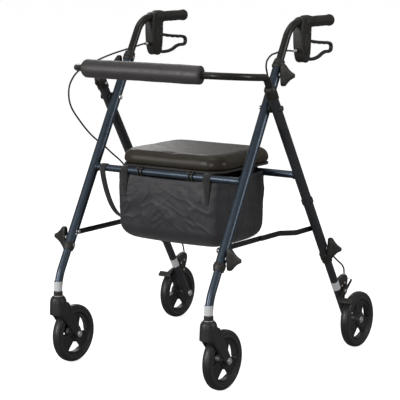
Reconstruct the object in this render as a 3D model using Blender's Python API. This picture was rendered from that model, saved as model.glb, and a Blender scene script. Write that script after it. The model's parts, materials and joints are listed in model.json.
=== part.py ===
"""Four-wheeled rollator walker with a folding frame, padded seat, bag and hand brakes.

Frame: metres, +Z up, +X to the user's left, front of the walker towards -Y.
The origin lies on the floor, under the middle of the bounding box.
"""
import math

import bmesh
import bpy
from mathutils import Matrix, Vector

# ---------------------------------------------------------------- driving dimensions
GAP = 0.0003                  # clearance between touching pieces
SIDES = {"left": 1.0, "right": -1.0}

WHEEL_RADIUS = 0.0762         # 6 inch wheels
WHEEL_WIDTH = 0.024
REAR_AXLE_Y = 0.2865
CASTER_STEM_Y = -0.3355
CASTER_TRAIL = 0.0600
CASTER_AXLE_Y = CASTER_STEM_Y + CASTER_TRAIL
CASTER_X = 0.2375             # stem and wheel plane, each side
REAR_WHEEL_X = 0.3020

PIVOT_Y = -0.0830             # hinge between front and rear frames
PIVOT_Z = 0.6850
FRONT_LEAN = math.radians(29.0)
REAR_LEAN = math.atan2(REAR_AXLE_Y - PIVOT_Y, PIVOT_Z - WHEEL_RADIUS)
FRONT_LEG_X = 0.2375
REAR_LEG_X = 0.2685

LEG_RADIUS = 0.0130
LEG_BORE = 0.0110
LOWER_LEG_RADIUS = 0.0105
TUBE_WALL = 0.0015             # lower legs and backrest bar
HANDLE_RADIUS = 0.01025
RAIL_RADIUS = 0.0095
BACKREST_RADIUS = 0.0090
FOAM_RADIUS = 0.0235
COLLAR_RADIUS = 0.0155

FRONT_TUBE_TOP_Z = 0.7900
FRONT_TUBE_END_Z = 0.3120
REAR_TUBE_TOP_Z = 0.7350
REAR_TUBE_END_Z = 0.2660
FRONT_RAIL_Z = 0.5090
REAR_RAIL_Z = 0.5030
BRACE_Z = 0.3490

BACKREST_Z = 0.7780
BACKREST_DROP = 0.0800         # fall of the side arms towards the legs, per metre
BACKREST_FRONT_Y = -0.2820
BACKREST_BEND = 0.1150
FOAM_HALF_LENGTH = 0.1780

GRIP_Z = 0.8910               # axis of the horizontal hand grips
GRIP_FRONT_Y = 0.1215
GRIP_REAR_Y = 0.2310
GRIP_RADIUS = 0.0142

SEAT_HALF_WIDTH = 0.1680
SEAT_FRONT_Y = -0.1890
SEAT_REAR_Y = 0.0940
SEAT_TOP_Z = 0.5610
SEAT_CORNER = 0.0500
SEAT_BOARD_THICKNESS = 0.0062

BAG_HALF_WIDTH = 0.1680
BAG_BOTTOM_Z = 0.3280

KNOB_REACH = 0.0570           # leg axis to the tip of a wing knob
CABLE_RADIUS = 0.0023
CABLE_STOP_Y = 0.0450         # cable's end at the brake lever housing
CABLE_STOP_Z = 0.8200

# ---------------------------------------------------------------- derived places
FRONT_UP = Vector((0.0, math.sin(FRONT_LEAN), math.cos(FRONT_LEAN)))
REAR_UP = Vector((0.0, -math.sin(REAR_LEAN), math.cos(REAR_LEAN)))


def on_front_leg(z, x=0.0):
    """Point on a front leg's axis at height z."""
    return Vector((x, PIVOT_Y + (z - PIVOT_Z) * math.tan(FRONT_LEAN), z))


def on_rear_leg(z, x=0.0):
    """Point on a rear leg's axis at height z."""
    return Vector((x, PIVOT_Y - (z - PIVOT_Z) * math.tan(REAR_LEAN), z))


# ---------------------------------------------------------------- scene helpers
for old in list(bpy.data.objects):
    bpy.data.objects.remove(old, do_unlink=True)


def make_material(name, color, roughness, metallic=0.0):
    material = bpy.data.materials.new(name)
    material.use_nodes = True
    shader = material.node_tree.nodes["Principled BSDF"]
    shader.inputs["Base Color"].default_value = (*color, 1.0)
    shader.inputs["Roughness"].default_value = roughness
    shader.inputs["Metallic"].default_value = metallic
    material.diffuse_color = (*color, 1.0)
    return material


STEEL_BLUE = make_material("steel_blue_paint", (0.045, 0.075, 0.110), 0.28, 0.6)
CHARCOAL = make_material("charcoal_paint", (0.060, 0.062, 0.075), 0.45, 0.4)
BLACK_TUBE = make_material("black_tube_paint", (0.025, 0.023, 0.020), 0.35, 0.2)
PLASTIC = make_material("black_plastic", (0.022, 0.021, 0.020), 0.50)
WHEEL_PLASTIC = make_material("wheel_plastic", (0.020, 0.019, 0.018), 0.55)
FOAM = make_material("grey_foam", (0.060, 0.055, 0.050), 0.85)
VINYL = make_material("black_vinyl", (0.030, 0.027, 0.024), 0.42)
NYLON = make_material("black_nylon", (0.036, 0.032, 0.036), 0.80)
ZINC = make_material("zinc_steel", (0.620, 0.620, 0.630), 0.30, 1.0)
CABLE = make_material("cable_jacket", (0.018, 0.017, 0.017), 0.45)

bodies = {}


def add_body(name, location, parent=None):
    """Empty on a joint's axis. The pieces of one moving body hang from it."""
    empty = bpy.data.objects.new("body_" + name, None)
    bpy.context.scene.collection.objects.link(empty)
    base = Vector((0.0, 0.0, 0.0))
    if parent:
        empty.parent = bodies[parent][0]
        base = bodies[parent][1]
    place = Vector(location)
    empty.location = place - base
    bodies[name] = (empty, place)


def add_piece(name, mesh_builder, body, material, sharp=35.0, guide=False):
    """Object from a bmesh in world coordinates, hung from its body's empty."""
    empty, origin = bodies[body]
    bmesh.ops.recalc_face_normals(mesh_builder, faces=mesh_builder.faces)
    mesh_builder.transform(Matrix.Translation(-origin))
    mesh = bpy.data.meshes.new(name)
    mesh_builder.to_mesh(mesh)
    mesh_builder.free()
    piece = bpy.data.objects.new(name, mesh)
    bpy.context.scene.collection.objects.link(piece)
    piece.parent = empty
    if guide:
        piece.hide_render = True
        piece.display_type = "WIRE"
    else:
        mesh.materials.append(material)
        mesh.shade_smooth()
        mesh.set_sharp_from_angle(angle=math.radians(sharp))
    return piece


def add_boolean(piece, other, operation):
    modifier = piece.modifiers.new(operation.lower() + "_" + other.name, "BOOLEAN")
    modifier.operation = operation
    modifier.solver = "EXACT"
    modifier.object = other


def cut(piece, builder, body):
    """Subtract the solid in builder from the piece."""
    guide = add_piece(piece.name + "_cutter", builder, body, None, guide=True)
    add_boolean(piece, guide, "DIFFERENCE")


def join(piece, builder, body):
    """Union the solid in builder with the piece."""
    guide = add_piece(piece.name + "_boss", builder, body, None, guide=True)
    add_boolean(piece, guide, "UNION")


def add_bevel(piece, width, segments=2, angle=40.0):
    modifier = piece.modifiers.new("rounded_edges", "BEVEL")
    modifier.width = width
    modifier.segments = segments
    modifier.limit_method = "ANGLE"
    modifier.angle_limit = math.radians(angle)


# ---------------------------------------------------------------- shape helpers
def loft(rings, cap_start=True, cap_end=True, closed=False):
    """Skin a list of equal-length point rings into one bmesh."""
    builder = bmesh.new()
    loops = [[builder.verts.new(point) for point in ring] for ring in rings]
    count = len(loops[0])
    pairs = list(zip(loops, loops[1:]))
    if closed:
        pairs.append((loops[-1], loops[0]))
    for low, high in pairs:
        for i in range(count):
            k = (i + 1) % count
            builder.faces.new((low[i], low[k], high[k], high[i]))
    if cap_start and not closed:
        builder.faces.new(list(reversed(loops[0])))
    if cap_end and not closed:
        builder.faces.new(loops[-1])
    return builder


def ring_frames(path):
    """Centre and two unit normals at each point of a path, without twist."""
    points = [Vector(p) for p in path]
    frames = []
    normal = None
    for i, point in enumerate(points):
        before = points[max(i - 1, 0)]
        after = points[min(i + 1, len(points) - 1)]
        arrive = (point - before).normalized() if i else (after - point).normalized()
        leave = (after - point).normalized() if i < len(points) - 1 else arrive
        tangent = (arrive + leave).normalized()
        if normal is None:
            helper = Vector((1.0, 0.0, 0.0))
            if abs(tangent.x) > 0.9:
                helper = Vector((0.0, 0.0, 1.0))
            normal = tangent.cross(helper).normalized()
        normal = (normal - tangent * normal.dot(tangent)).normalized()
        frames.append((point, normal, tangent.cross(normal)))
    return frames


def tube(path, radius, bore=0.0, sides=20):
    """Round bar along a path, or a pipe where a bore is given."""
    frames = ring_frames(path)

    def circle(frame, size):
        centre, first, second = frame
        turns = [2.0 * math.pi * (i + 0.5) / sides for i in range(sides)]
        return [centre + (first * math.cos(a) + second * math.sin(a)) * size for a in turns]

    outer = [circle(frame, radius) for frame in frames]
    if not bore:
        return loft(outer)
    inner = [circle(frame, bore) for frame in reversed(frames)]
    return loft(outer + inner, closed=True)


def strip(path, width, thickness):
    """Flat strap along a path in a plane of constant X, its width along X."""
    rings = []
    for centre, first, second in ring_frames(path):
        across = Vector((1.0, 0.0, 0.0)) * (width / 2)
        out = (first if abs(first.x) < abs(second.x) else second) * (thickness / 2)
        rings.append([centre - across - out, centre + across - out,
                      centre + across + out, centre - across + out])
    return loft(rings)


def turned(profile, centre, axis="X", sides=32, half_step=True):
    """Closed profile of (along, radius) points turned about an axis through centre."""
    offset = 0.5 if half_step else 0.0
    rings = []
    for i in range(sides):
        angle = 2.0 * math.pi * (i + offset) / sides
        c, s = math.cos(angle), math.sin(angle)
        ring = []
        for along, radius in profile:
            if axis == "X":
                point = Vector((along, radius * s, radius * c))
            elif axis == "Y":
                point = Vector((radius * c, along, radius * s))
            else:
                point = Vector((radius * c, radius * s, along))
            ring.append(Vector(centre) + point)
        rings.append(ring)
    return loft(rings, closed=True)


def rod(start, end, radius, sides=16):
    return tube([start, end], radius, sides=sides)


def slab(outline, x_low, x_high):
    """Outline of (y, z) points given a thickness along X."""
    rings = [[Vector((x, y, z)) for y, z in outline] for x in (x_low, x_high)]
    return loft(rings)


def arc(centre, radius, start_deg, end_deg, steps):
    """Points of an arc in a plane, as pairs."""
    points = []
    for i in range(steps + 1):
        angle = math.radians(start_deg + (end_deg - start_deg) * i / steps)
        points.append((centre[0] + radius * math.cos(angle), centre[1] + radius * math.sin(angle)))
    return points


def hull_outline(circles, steps=10):
    """Convex outline around circles of (y, z, radius)."""
    points = []
    for y, z, radius in circles:
        points += arc((y, z), radius, 0.0, 360.0 - 360.0 / (2 * steps), 2 * steps - 1)
    points = sorted(set(points))

    def half(sequence):
        chain = []
        for point in sequence:
            while len(chain) > 1:
                (ay, az), (by, bz) = chain[-2], chain[-1]
                if (by - ay) * (point[1] - az) - (bz - az) * (point[0] - ay) > 0:
                    break
                chain.pop()
            chain.append(point)
        return chain[:-1]

    return half(points) + half(list(reversed(points)))


def rounded_path(corners, radius, steps=6):
    """Path through corners with each inner corner rounded to a radius."""
    points = [Vector(corners[0])]
    for before, corner, after in zip(corners, corners[1:], corners[2:]):
        corner = Vector(corner)
        back = (Vector(before) - corner).normalized()
        ahead = (Vector(after) - corner).normalized()
        half = back.angle(ahead) / 2.0
        reach = radius / math.tan(half)
        centre = corner + (back + ahead).normalized() * (radius / math.sin(half))
        start = corner + back * reach - centre
        end = corner + ahead * reach - centre
        sweep = start.angle(end)
        for i in range(steps + 1):
            t = i / steps
            weight = math.sin(sweep)
            mixed = start * (math.sin((1 - t) * sweep) / weight) + end * (math.sin(t * sweep) / weight)
            points.append(centre + mixed)
    points.append(Vector(corners[-1]))
    return points


def smooth_route(route, count):
    """Evenly spaced points on a smooth curve through a cable's route."""
    points = [Vector(p) for p in route]
    dense = []
    for i in range(len(points) - 1):
        a, b = points[max(i - 1, 0)], points[i]
        c, d = points[i + 1], points[min(i + 2, len(points) - 1)]
        for k in range(24):
            t = k / 24.0
            dense.append(0.5 * ((2 * b) + (c - a) * t + (2 * a - 5 * b + 4 * c - d) * t * t
                                + (3 * b - a - 3 * c + d) * t ** 3))
    dense.append(points[-1])
    lengths = [0.0]
    for a, b in zip(dense, dense[1:]):
        lengths.append(lengths[-1] + (b - a).length)
    even, k = [], 0
    for i in range(count):
        target = lengths[-1] * i / (count - 1)
        while k < len(dense) - 2 and lengths[k + 1] < target:
            k += 1
        share = (target - lengths[k]) / (lengths[k + 1] - lengths[k])
        even.append(dense[k].lerp(dense[k + 1], min(share, 1.0)))
    return even


def rounded_box_ring(half_x, y_low, y_high, corner, z, steps=4):
    """Horizontal ring of a box with rounded corners at height z."""
    ring = []
    for sx, y, start in ((1, y_high, 0.0), (-1, y_high, 90.0), (-1, y_low, 180.0), (1, y_low, 270.0)):
        centre = (sx * (half_x - corner), y - corner if y == y_high else y + corner)
        ring += [Vector((px, py, z)) for px, py in arc(centre, corner, start, start + 90.0, steps)]
    return ring


# ---------------------------------------------------------------- bodies
BRACE_FRONT = on_front_leg(BRACE_Z)
BRACE_REAR = on_rear_leg(BRACE_Z)
BRACE_MIDDLE_Y = (BRACE_FRONT.y + BRACE_REAR.y) / 2
LEVER_PIVOT = (0.0970, 0.8440)
SHOE_PIVOT = (0.2545, 0.1580)
UPPER_KNOB_Z = 0.7650
FRONT_KNOB_Z = 0.3320
REAR_KNOB_Z = 0.2940

add_body("front_frame", (0.0, PIVOT_Y, PIVOT_Z))
add_body("rear_frame", (0.0, PIVOT_Y, PIVOT_Z), "front_frame")
add_body("seat", on_front_leg(FRONT_RAIL_Z), "front_frame")
for side, s in SIDES.items():
    front_x, rear_x = s * FRONT_LEG_X, s * REAR_LEG_X
    add_body("front_brace_" + side, (s * 0.2208, BRACE_FRONT.y, BRACE_Z), "front_frame")
    add_body("rear_brace_" + side, (s * 0.2540, BRACE_REAR.y, BRACE_Z), "rear_frame")
    add_body("handle_" + side, on_front_leg(FRONT_TUBE_TOP_Z, front_x), "front_frame")
    add_body("brake_lever_" + side, (front_x, *LEVER_PIVOT), "handle_" + side)
    add_body("front_lower_" + side, on_front_leg(FRONT_TUBE_END_Z, front_x), "front_frame")
    add_body("caster_" + side, (s * CASTER_X, CASTER_STEM_Y, 0.190), "front_lower_" + side)
    add_body("front_wheel_" + side, (s * CASTER_X, CASTER_AXLE_Y, WHEEL_RADIUS), "caster_" + side)
    add_body("rear_lower_" + side, on_rear_leg(REAR_TUBE_END_Z, rear_x), "rear_frame")
    add_body("rear_wheel_" + side, (s * REAR_WHEEL_X, REAR_AXLE_Y, WHEEL_RADIUS), "rear_lower_" + side)
    add_body("brake_shoe_" + side, (rear_x, *SHOE_PIVOT), "rear_lower_" + side)
    add_body("handle_knob_" + side, on_front_leg(UPPER_KNOB_Z, front_x), "front_frame")
    add_body("front_knob_" + side, on_front_leg(FRONT_KNOB_Z, front_x), "front_frame")
    add_body("rear_knob_" + side, on_rear_leg(REAR_KNOB_Z, rear_x), "rear_frame")


# ---------------------------------------------------------------- legs and rails
PIVOT_BOLT_RADIUS = 0.0035
KNOB_BOLT_RADIUS = 0.0030


def side_hole(centre, radius, x_from, x_to):
    """Cutter along X through one or both walls of a leg."""
    return rod((x_from, centre[1], centre[2]), (x_to, centre[1], centre[2]), radius, sides=12)


def build_leg(name, body, start, end, x, s, knobs):
    """Upper leg: a pipe with the pivot bolt's hole and the knobs' holes."""
    leg = add_piece(name, tube([start, end], LEG_RADIUS, LEG_BORE), body,
                    STEEL_BLUE if "front" in name else CHARCOAL)
    pivot = (x, PIVOT_Y, PIVOT_Z)
    cut(leg, side_hole(pivot, PIVOT_BOLT_RADIUS + GAP, x - 0.020, x + 0.020), body)
    for knob in knobs:
        cut(leg, side_hole(knob, KNOB_BOLT_RADIUS + GAP, x, x + s * 0.020), body)


for side, s in SIDES.items():
    x = s * FRONT_LEG_X
    build_leg("front_leg_" + side, "front_frame", on_front_leg(FRONT_TUBE_END_Z, x),
              on_front_leg(FRONT_TUBE_TOP_Z, x), x, s,
              [on_front_leg(UPPER_KNOB_Z, x), on_front_leg(FRONT_KNOB_Z, x)])
    x = s * REAR_LEG_X
    build_leg("rear_leg_" + side, "rear_frame", on_rear_leg(REAR_TUBE_END_Z, x),
              on_rear_leg(REAR_TUBE_TOP_Z, x), x, s, [on_rear_leg(REAR_KNOB_Z, x)])


def build_rail(name, body, centre, leg_x, material):
    """Cross rail: a pipe whose ends stop at the legs' inner faces."""
    reach = leg_x - LEG_RADIUS - GAP
    ends = [centre + Vector((reach * e, 0.0, 0.0)) for e in (-1.0, 1.0)]
    add_piece(name, tube(ends, RAIL_RADIUS, RAIL_RADIUS - 0.0015), body, material)


build_rail("front_rail", "front_frame", on_front_leg(FRONT_RAIL_Z), FRONT_LEG_X, STEEL_BLUE)
build_rail("rear_rail", "rear_frame", on_rear_leg(REAR_RAIL_Z), REAR_LEG_X, STEEL_BLUE)


def build_pivot_bolt(side, s):
    """Bolt through both legs, with its domed ends and the spacer ring between the legs."""
    inner_face = FRONT_LEG_X - LEG_RADIUS - GAP
    outer_face = REAR_LEG_X + LEG_RADIUS + GAP
    ring_low = FRONT_LEG_X + LEG_RADIUS + GAP
    ring_high = REAR_LEG_X - LEG_RADIUS - GAP
    bolt, ring, dome = PIVOT_BOLT_RADIUS, 0.0120, 0.0062
    profile = [(inner_face - 0.0060, 0.0005), (inner_face - 0.0055, 0.0035),
               (inner_face - 0.0030, dome), (inner_face, dome), (inner_face, bolt),
               (ring_low, bolt), (ring_low, ring), (ring_high, ring), (ring_high, bolt),
               (outer_face, bolt), (outer_face, dome), (outer_face + 0.0030, dome),
               (outer_face + 0.0055, 0.0035), (outer_face + 0.0060, 0.0005)]
    rings = []
    for along, radius in profile:
        rings.append([Vector((s * along, PIVOT_Y + py, PIVOT_Z + pz))
                      for py, pz in arc((0.0, 0.0), radius, 0.0, 360.0 - 22.5, 15)])
    add_piece("pivot_bolt_" + side, loft(rings), "front_frame", ZINC)


def build_collar(name, body, centre, up, length, inner, outer_low, outer_high):
    """Plastic sleeve where one tube slides in another: a lip over the end of the outer tube."""
    rings = []
    profile = [(-length, inner), (-length, outer_low), (-length * 0.25, outer_high),
               (length * 0.75, outer_high), (length, outer_high - 0.0010),
               (length, LEG_RADIUS + GAP), (0.0, LEG_RADIUS + GAP), (0.0, inner)]
    helper = Vector((1.0, 0.0, 0.0))
    across = up.cross(helper)
    for i in range(16):
        angle = 2.0 * math.pi * (i + 0.5) / 16
        out = helper * math.cos(angle) + across * math.sin(angle)
        rings.append([centre + up * along + out * radius for along, radius in profile])
    return add_piece(name, loft(rings, closed=True), body, PLASTIC)


def build_knob(name, body, centre, s, tube_radius):
    """Wing knob: clamp bolt, upright bar and tapering wing, in one moulding."""
    x, y, z = centre
    leg = abs(x)

    def at(out, dy, dz):
        return Vector((s * (leg + out), y + dy, z + dz))

    sections = [(0.0175, 0.0068, 0.0265), (0.0200, 0.0072, 0.0280), (0.0270, 0.0070, 0.0280),
                (0.0300, 0.0055, 0.0262), (0.0370, 0.0038, 0.0190), (0.0450, 0.0032, 0.0115),
                (0.0530, 0.0030, 0.0068), (KNOB_REACH, 0.0020, 0.0035)]
    rings = []
    for out, half_y, half_z in sections:
        round_off = min(half_y, half_z) * 0.8
        ring = []
        for sy, sz, start in ((1, 1, 0.0), (-1, 1, 90.0), (-1, -1, 180.0), (1, -1, 270.0)):
            middle = (sy * (half_y - round_off), sz * (half_z - round_off))
            ring += [at(out, py, pz) for py, pz in arc(middle, round_off, start, start + 90.0, 2)]
        rings.append(ring)
    knob = add_piece(name, loft(rings), body, PLASTIC)
    bolt = rod(at(tube_radius + GAP, 0.0, 0.0), at(0.0200, 0.0, 0.0), KNOB_BOLT_RADIUS, sides=12)
    washer = rod(at(0.0150, 0.0, 0.0), at(0.0180, 0.0, 0.0), 0.0062, sides=16)
    join(knob, bolt, body)
    join(knob, washer, body)


for side, s in SIDES.items():
    build_pivot_bolt(side, s)
    front_x, rear_x = s * FRONT_LEG_X, s * REAR_LEG_X
    build_collar("handle_collar_" + side, "front_frame", on_front_leg(FRONT_TUBE_TOP_Z, front_x) + FRONT_UP * GAP,
                 -FRONT_UP, 0.0120, HANDLE_RADIUS + GAP, 0.0138, COLLAR_RADIUS)
    build_collar("front_leg_collar_" + side, "front_frame",
                 on_front_leg(FRONT_TUBE_END_Z, front_x) - FRONT_UP * GAP,
                 FRONT_UP, 0.0105, LOWER_LEG_RADIUS + GAP, 0.0140, COLLAR_RADIUS)
    build_collar("rear_leg_collar_" + side, "rear_frame",
                 on_rear_leg(REAR_TUBE_END_Z, rear_x) - REAR_UP * GAP,
                 REAR_UP, 0.0160, LOWER_LEG_RADIUS + GAP, 0.0140, COLLAR_RADIUS)
    build_knob("handle_knob_" + side, "handle_knob_" + side,
               on_front_leg(UPPER_KNOB_Z, front_x), s, HANDLE_RADIUS)
    build_knob("front_leg_knob_" + side, "front_knob_" + side,
               on_front_leg(FRONT_KNOB_Z, front_x), s, LOWER_LEG_RADIUS)
    build_knob("rear_leg_knob_" + side, "rear_knob_" + side,
               on_rear_leg(REAR_KNOB_Z, rear_x), s, LOWER_LEG_RADIUS)


# ---------------------------------------------------------------- backrest
def backrest_height(y):
    """Height of the backrest bar, whose side arms fall slightly towards the legs."""
    return BACKREST_Z - BACKREST_DROP * (y - BACKREST_FRONT_Y)


def backrest_path():
    """Right leg top, forward and round the front, to the left leg top."""
    foot = on_rear_leg(REAR_TUBE_TOP_Z) + REAR_UP * 0.0020
    knee = on_rear_leg(backrest_height(-0.1350))
    bend_y = BACKREST_FRONT_Y + BACKREST_BEND
    ahead = Vector((0.0, bend_y, backrest_height(bend_y)))
    half = []
    for corner in rounded_path([foot, knee, ahead], 0.0160, steps=4)[:-1]:
        half.append(corner + Vector((REAR_LEG_X, 0.0, 0.0)))
    bend_x = REAR_LEG_X - BACKREST_BEND
    for px, py in arc((bend_x, bend_y), BACKREST_BEND, 0.0, -90.0, 7):
        half.append(Vector((px, py, backrest_height(py))))
    mirrored = [Vector((-p.x, p.y, p.z)) for p in half]
    return mirrored + list(reversed(half))


def build_backrest():
    path = backrest_path()
    add_piece("backrest_bar", tube(path, BACKREST_RADIUS, BACKREST_RADIUS - TUBE_WALL, sides=12), "rear_frame", BLACK_TUBE)
    middle = [p for p in path if abs(p.x) < REAR_LEG_X - BACKREST_BEND + 0.001]
    bend_x = REAR_LEG_X - BACKREST_BEND
    turn = math.degrees(math.asin((FOAM_HALF_LENGTH - bend_x) / BACKREST_BEND))
    tail = [Vector((px, py, backrest_height(py))) for px, py in
            arc((bend_x, BACKREST_FRONT_Y + BACKREST_BEND), BACKREST_BEND, -90.0 + turn, -90.0, 2)]
    middle = [Vector((-p.x, p.y, p.z)) for p in tail[:-1]] + middle + list(reversed(tail[:-1]))
    foam = add_piece("backrest_foam", tube(middle, FOAM_RADIUS, BACKREST_RADIUS + 0.0008, sides=20),
                     "rear_frame", FOAM)
    add_bevel(foam, 0.0060, 2, 60.0)


def build_leg_top_socket(side, s):
    """Plastic clamp that joins the backrest bar to the top of a rear leg."""
    x = s * REAR_LEG_X
    top = on_rear_leg(REAR_TUBE_TOP_Z, x)
    wall = LEG_RADIUS + GAP
    lip = BACKREST_RADIUS + GAP
    profile = [(-0.0300, wall), (-0.0300, COLLAR_RADIUS - 0.0008), (-0.0280, COLLAR_RADIUS),
               (0.0010, COLLAR_RADIUS), (0.0080, 0.0125), (0.0090, 0.0115), (0.0090, lip),
               (GAP, lip), (GAP, wall)]
    rings = []
    across = REAR_UP.cross(Vector((1.0, 0.0, 0.0)))
    for i in range(16):
        angle = 2.0 * math.pi * (i + 0.5) / 16
        out = Vector((1.0, 0.0, 0.0)) * math.cos(angle) + across * math.sin(angle)
        rings.append([top + REAR_UP * along + out * radius for along, radius in profile])
    socket = add_piece("leg_top_socket_" + side, loft(rings, closed=True), "rear_frame", PLASTIC)
    front = -across if across.y > 0 else across
    base = top + front * 0.0150
    lip_rings = []
    for out, half in ((0.0, 0.0060), (0.0050, 0.0050), (0.0065, 0.0030)):
        middle = base + front * out + REAR_UP * -0.0030
        lip_rings.append([middle + Vector((0.0060 * a, 0.0, 0.0)) + REAR_UP * (half * b)
                          for a, b in ((-1, -1), (1, -1), (1, 1), (-1, 1))])
    join(socket, loft(lip_rings), "rear_frame")


build_backrest()
for side, s in SIDES.items():
    build_leg_top_socket(side, s)


# ---------------------------------------------------------------- handles and brake levers
def handle_path(x):
    """Straight up the leg, then bent back to a level grip."""
    lower = on_front_leg(0.7300, x)
    corner = on_front_leg(GRIP_Z, x)
    end = Vector((x, GRIP_REAR_Y - 0.0040, GRIP_Z))
    return rounded_path([lower, corner, end], 0.0650, steps=8)


def build_handle(side, s):
    x = s * FRONT_LEG_X
    body = "handle_" + side
    add_piece("handle_tube_" + side, tube(handle_path(x), HANDLE_RADIUS, 0.0088, sides=16), body, BLACK_TUBE)

    hole = HANDLE_RADIUS + GAP
    profile = [(GRIP_FRONT_Y, hole), (GRIP_FRONT_Y, 0.0150), (GRIP_FRONT_Y + 0.0060, 0.0156),
               (GRIP_FRONT_Y + 0.0090, 0.0136), (GRIP_FRONT_Y + 0.0600, GRIP_RADIUS - 0.0004),
               (GRIP_REAR_Y - 0.0100, 0.0150), (GRIP_REAR_Y - 0.0030, 0.0148), (GRIP_REAR_Y, 0.0125),
               (GRIP_REAR_Y, 0.0010), (GRIP_REAR_Y - 0.0035, 0.0010), (GRIP_REAR_Y - 0.0035, hole)]
    rings = [[Vector((x + r * math.cos(a), along, GRIP_Z + r * math.sin(a))) for along, r in profile]
             for a in (2.0 * math.pi * (i + 0.5) / 16 for i in range(16))]
    add_piece("hand_grip_" + side, loft(rings, closed=True), body, PLASTIC)

    outline = [(0.0720, 0.8980), (0.0660, 0.8700), (0.0660, 0.8400), (0.0690, 0.8150), (0.0760, 0.7960),
               (0.0870, 0.7880), (0.1000, 0.7880), (0.1080, 0.7980), (0.1120, 0.8250), (0.1135, 0.8600),
               (0.1140, 0.9020), (0.0880, 0.9020)]
    housing = add_piece("brake_lever_housing_" + side, slab(outline, x - 0.0150, x + 0.0150), body, PLASTIC)
    add_bevel(housing, 0.0045, 1, 30.0)
    clamp = turned([(0.0900, 0.0010), (0.0900, 0.0160), (0.0930, 0.0175), (0.1150, 0.0175),
                    (0.1180, 0.0160), (0.1180, 0.0010)], (x, 0.0, GRIP_Z), "Y", 24)
    join(housing, clamp, body)
    join(housing, rod((x, CABLE_STOP_Y + 0.0008, CABLE_STOP_Z), (x, 0.0760, CABLE_STOP_Z), 0.0040), body)
    cut(housing, tube(handle_path(x), HANDLE_RADIUS + GAP, sides=20), body)
    slot = [(0.0840, 0.7700), (0.0840, 0.8500), (0.0900, 0.8580), (0.1300, 0.8580), (0.1300, 0.7700)]
    cut(housing, slab(slot, x - 0.0066, x + 0.0066), body)
    y, z = LEVER_PIVOT
    cut(housing, rod((x - 0.0200, y, z), (x + 0.0200, y, z), 0.0028, sides=12), body)


def build_brake_lever(side, s):
    """Loop lever: a closed D of round bar on its pivot pin."""
    x = s * FRONT_LEG_X
    y, z = LEVER_PIVOT
    corners = [(y, z), (0.1700, 0.8350), (0.2220, 0.8300), (0.2360, 0.8245), (0.2330, 0.8110),
               (0.2180, 0.8085), (0.2020, 0.8090), (0.1780, 0.8000), (0.1480, 0.7940), (0.1180, 0.7945),
               (0.0960, 0.8020)]
    outline = []
    inner = []
    centre = (0.165, 0.818)
    for i, (cy, cz) in enumerate(corners):
        before, after = corners[i - 1], corners[(i + 1) % len(corners)]
        ty, tz = after[0] - before[0], after[1] - before[1]
        length = math.hypot(ty, tz)
        ny, nz = tz / length, -ty / length
        if (cy - centre[0]) * ny + (cz - centre[1]) * nz < 0:
            ny, nz = -ny, -nz
        outline.append((cy + ny * 0.0046, cz + nz * 0.0046))
        inner.append((cy - ny * 0.0046, cz - nz * 0.0046))
    rings = []
    for px, ring in ((-0.0042, outline), (0.0042, outline), (0.0042, inner), (-0.0042, inner)):
        rings.append([Vector((x + px, py, pz)) for py, pz in ring])
    lever = add_piece("brake_lever_" + side, loft(rings, closed=True), "brake_lever_" + side, PLASTIC)
    join(lever, rod((x - 0.0060, y, z), (x + 0.0060, y, z), 0.0085, sides=20), "brake_lever_" + side)
    join(lever, rod((x - 0.0140, y, z), (x + 0.0140, y, z), 0.0025, sides=12), "brake_lever_" + side)


for side, s in SIDES.items():
    build_handle(side, s)
    build_brake_lever(side, s)


# ---------------------------------------------------------------- lower legs, casters and wheels
def build_front_lower_leg(side, s):
    """Inner leg tube that bends down to the caster's stem."""
    x = s * FRONT_LEG_X
    top = on_front_leg(FRONT_TUBE_END_Z, x) + FRONT_UP * 0.1150
    corner_z = PIVOT_Z + (CASTER_STEM_Y - PIVOT_Y) / math.tan(FRONT_LEAN)
    corner = Vector((s * CASTER_X, CASTER_STEM_Y, corner_z))
    end = Vector((s * CASTER_X, CASTER_STEM_Y, 0.1880))
    path = rounded_path([top, corner, end], 0.1300, steps=5)
    leg = add_piece("front_lower_leg_" + side, tube(path, LOWER_LEG_RADIUS, LOWER_LEG_RADIUS - TUBE_WALL, sides=16),
                    "front_lower_" + side, STEEL_BLUE)
    join(leg, rod(end + Vector((0, 0, 0.0120)), end, 0.0118, sides=20), "front_lower_" + side)
    join(leg, rod(end + Vector((0, 0, 0.0050)), end + Vector((0, 0, -0.0280)), 0.0055, sides=16),
         "front_lower_" + side)


def build_caster_fork(side, s):
    """Moulded fork: a hood under the stem with one arm each side of the wheel."""
    x = s * CASTER_X
    body = "caster_" + side
    stem = CASTER_STEM_Y
    outline = hull_outline([(CASTER_AXLE_Y, WHEEL_RADIUS, 0.0125), (stem - 0.0145, 0.1450, 0.0070),
                            (stem - 0.0130, 0.1650, 0.0080), (stem + 0.0150, 0.1630, 0.0080)], 6)
    fork = add_piece("caster_fork_" + side, slab(outline, x - 0.0205, x + 0.0205), body, PLASTIC)
    hood = turned([(0.1400, 0.0010), (0.1400, 0.0226), (0.1760, 0.0215), (0.1830, 0.0195),
                   (0.1870, 0.0160), (0.1870, 0.0010)], (x, stem, 0.0), "Z", 24)
    join(fork, hood, body)
    cut(fork, turned([(-0.0145, 0.0010), (-0.0145, 0.0815), (0.0145, 0.0815), (0.0145, 0.0010)],
                     (x, CASTER_AXLE_Y, WHEEL_RADIUS), "X", 32), body)
    cut(fork, rod((x, stem, 0.1500), (x, stem, 0.2000), 0.0060, sides=16), body)
    cut(fork, rod((x - 0.0300, CASTER_AXLE_Y, WHEEL_RADIUS), (x + 0.0300, CASTER_AXLE_Y, WHEEL_RADIUS),
                  0.0043, sides=12), body)


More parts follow.
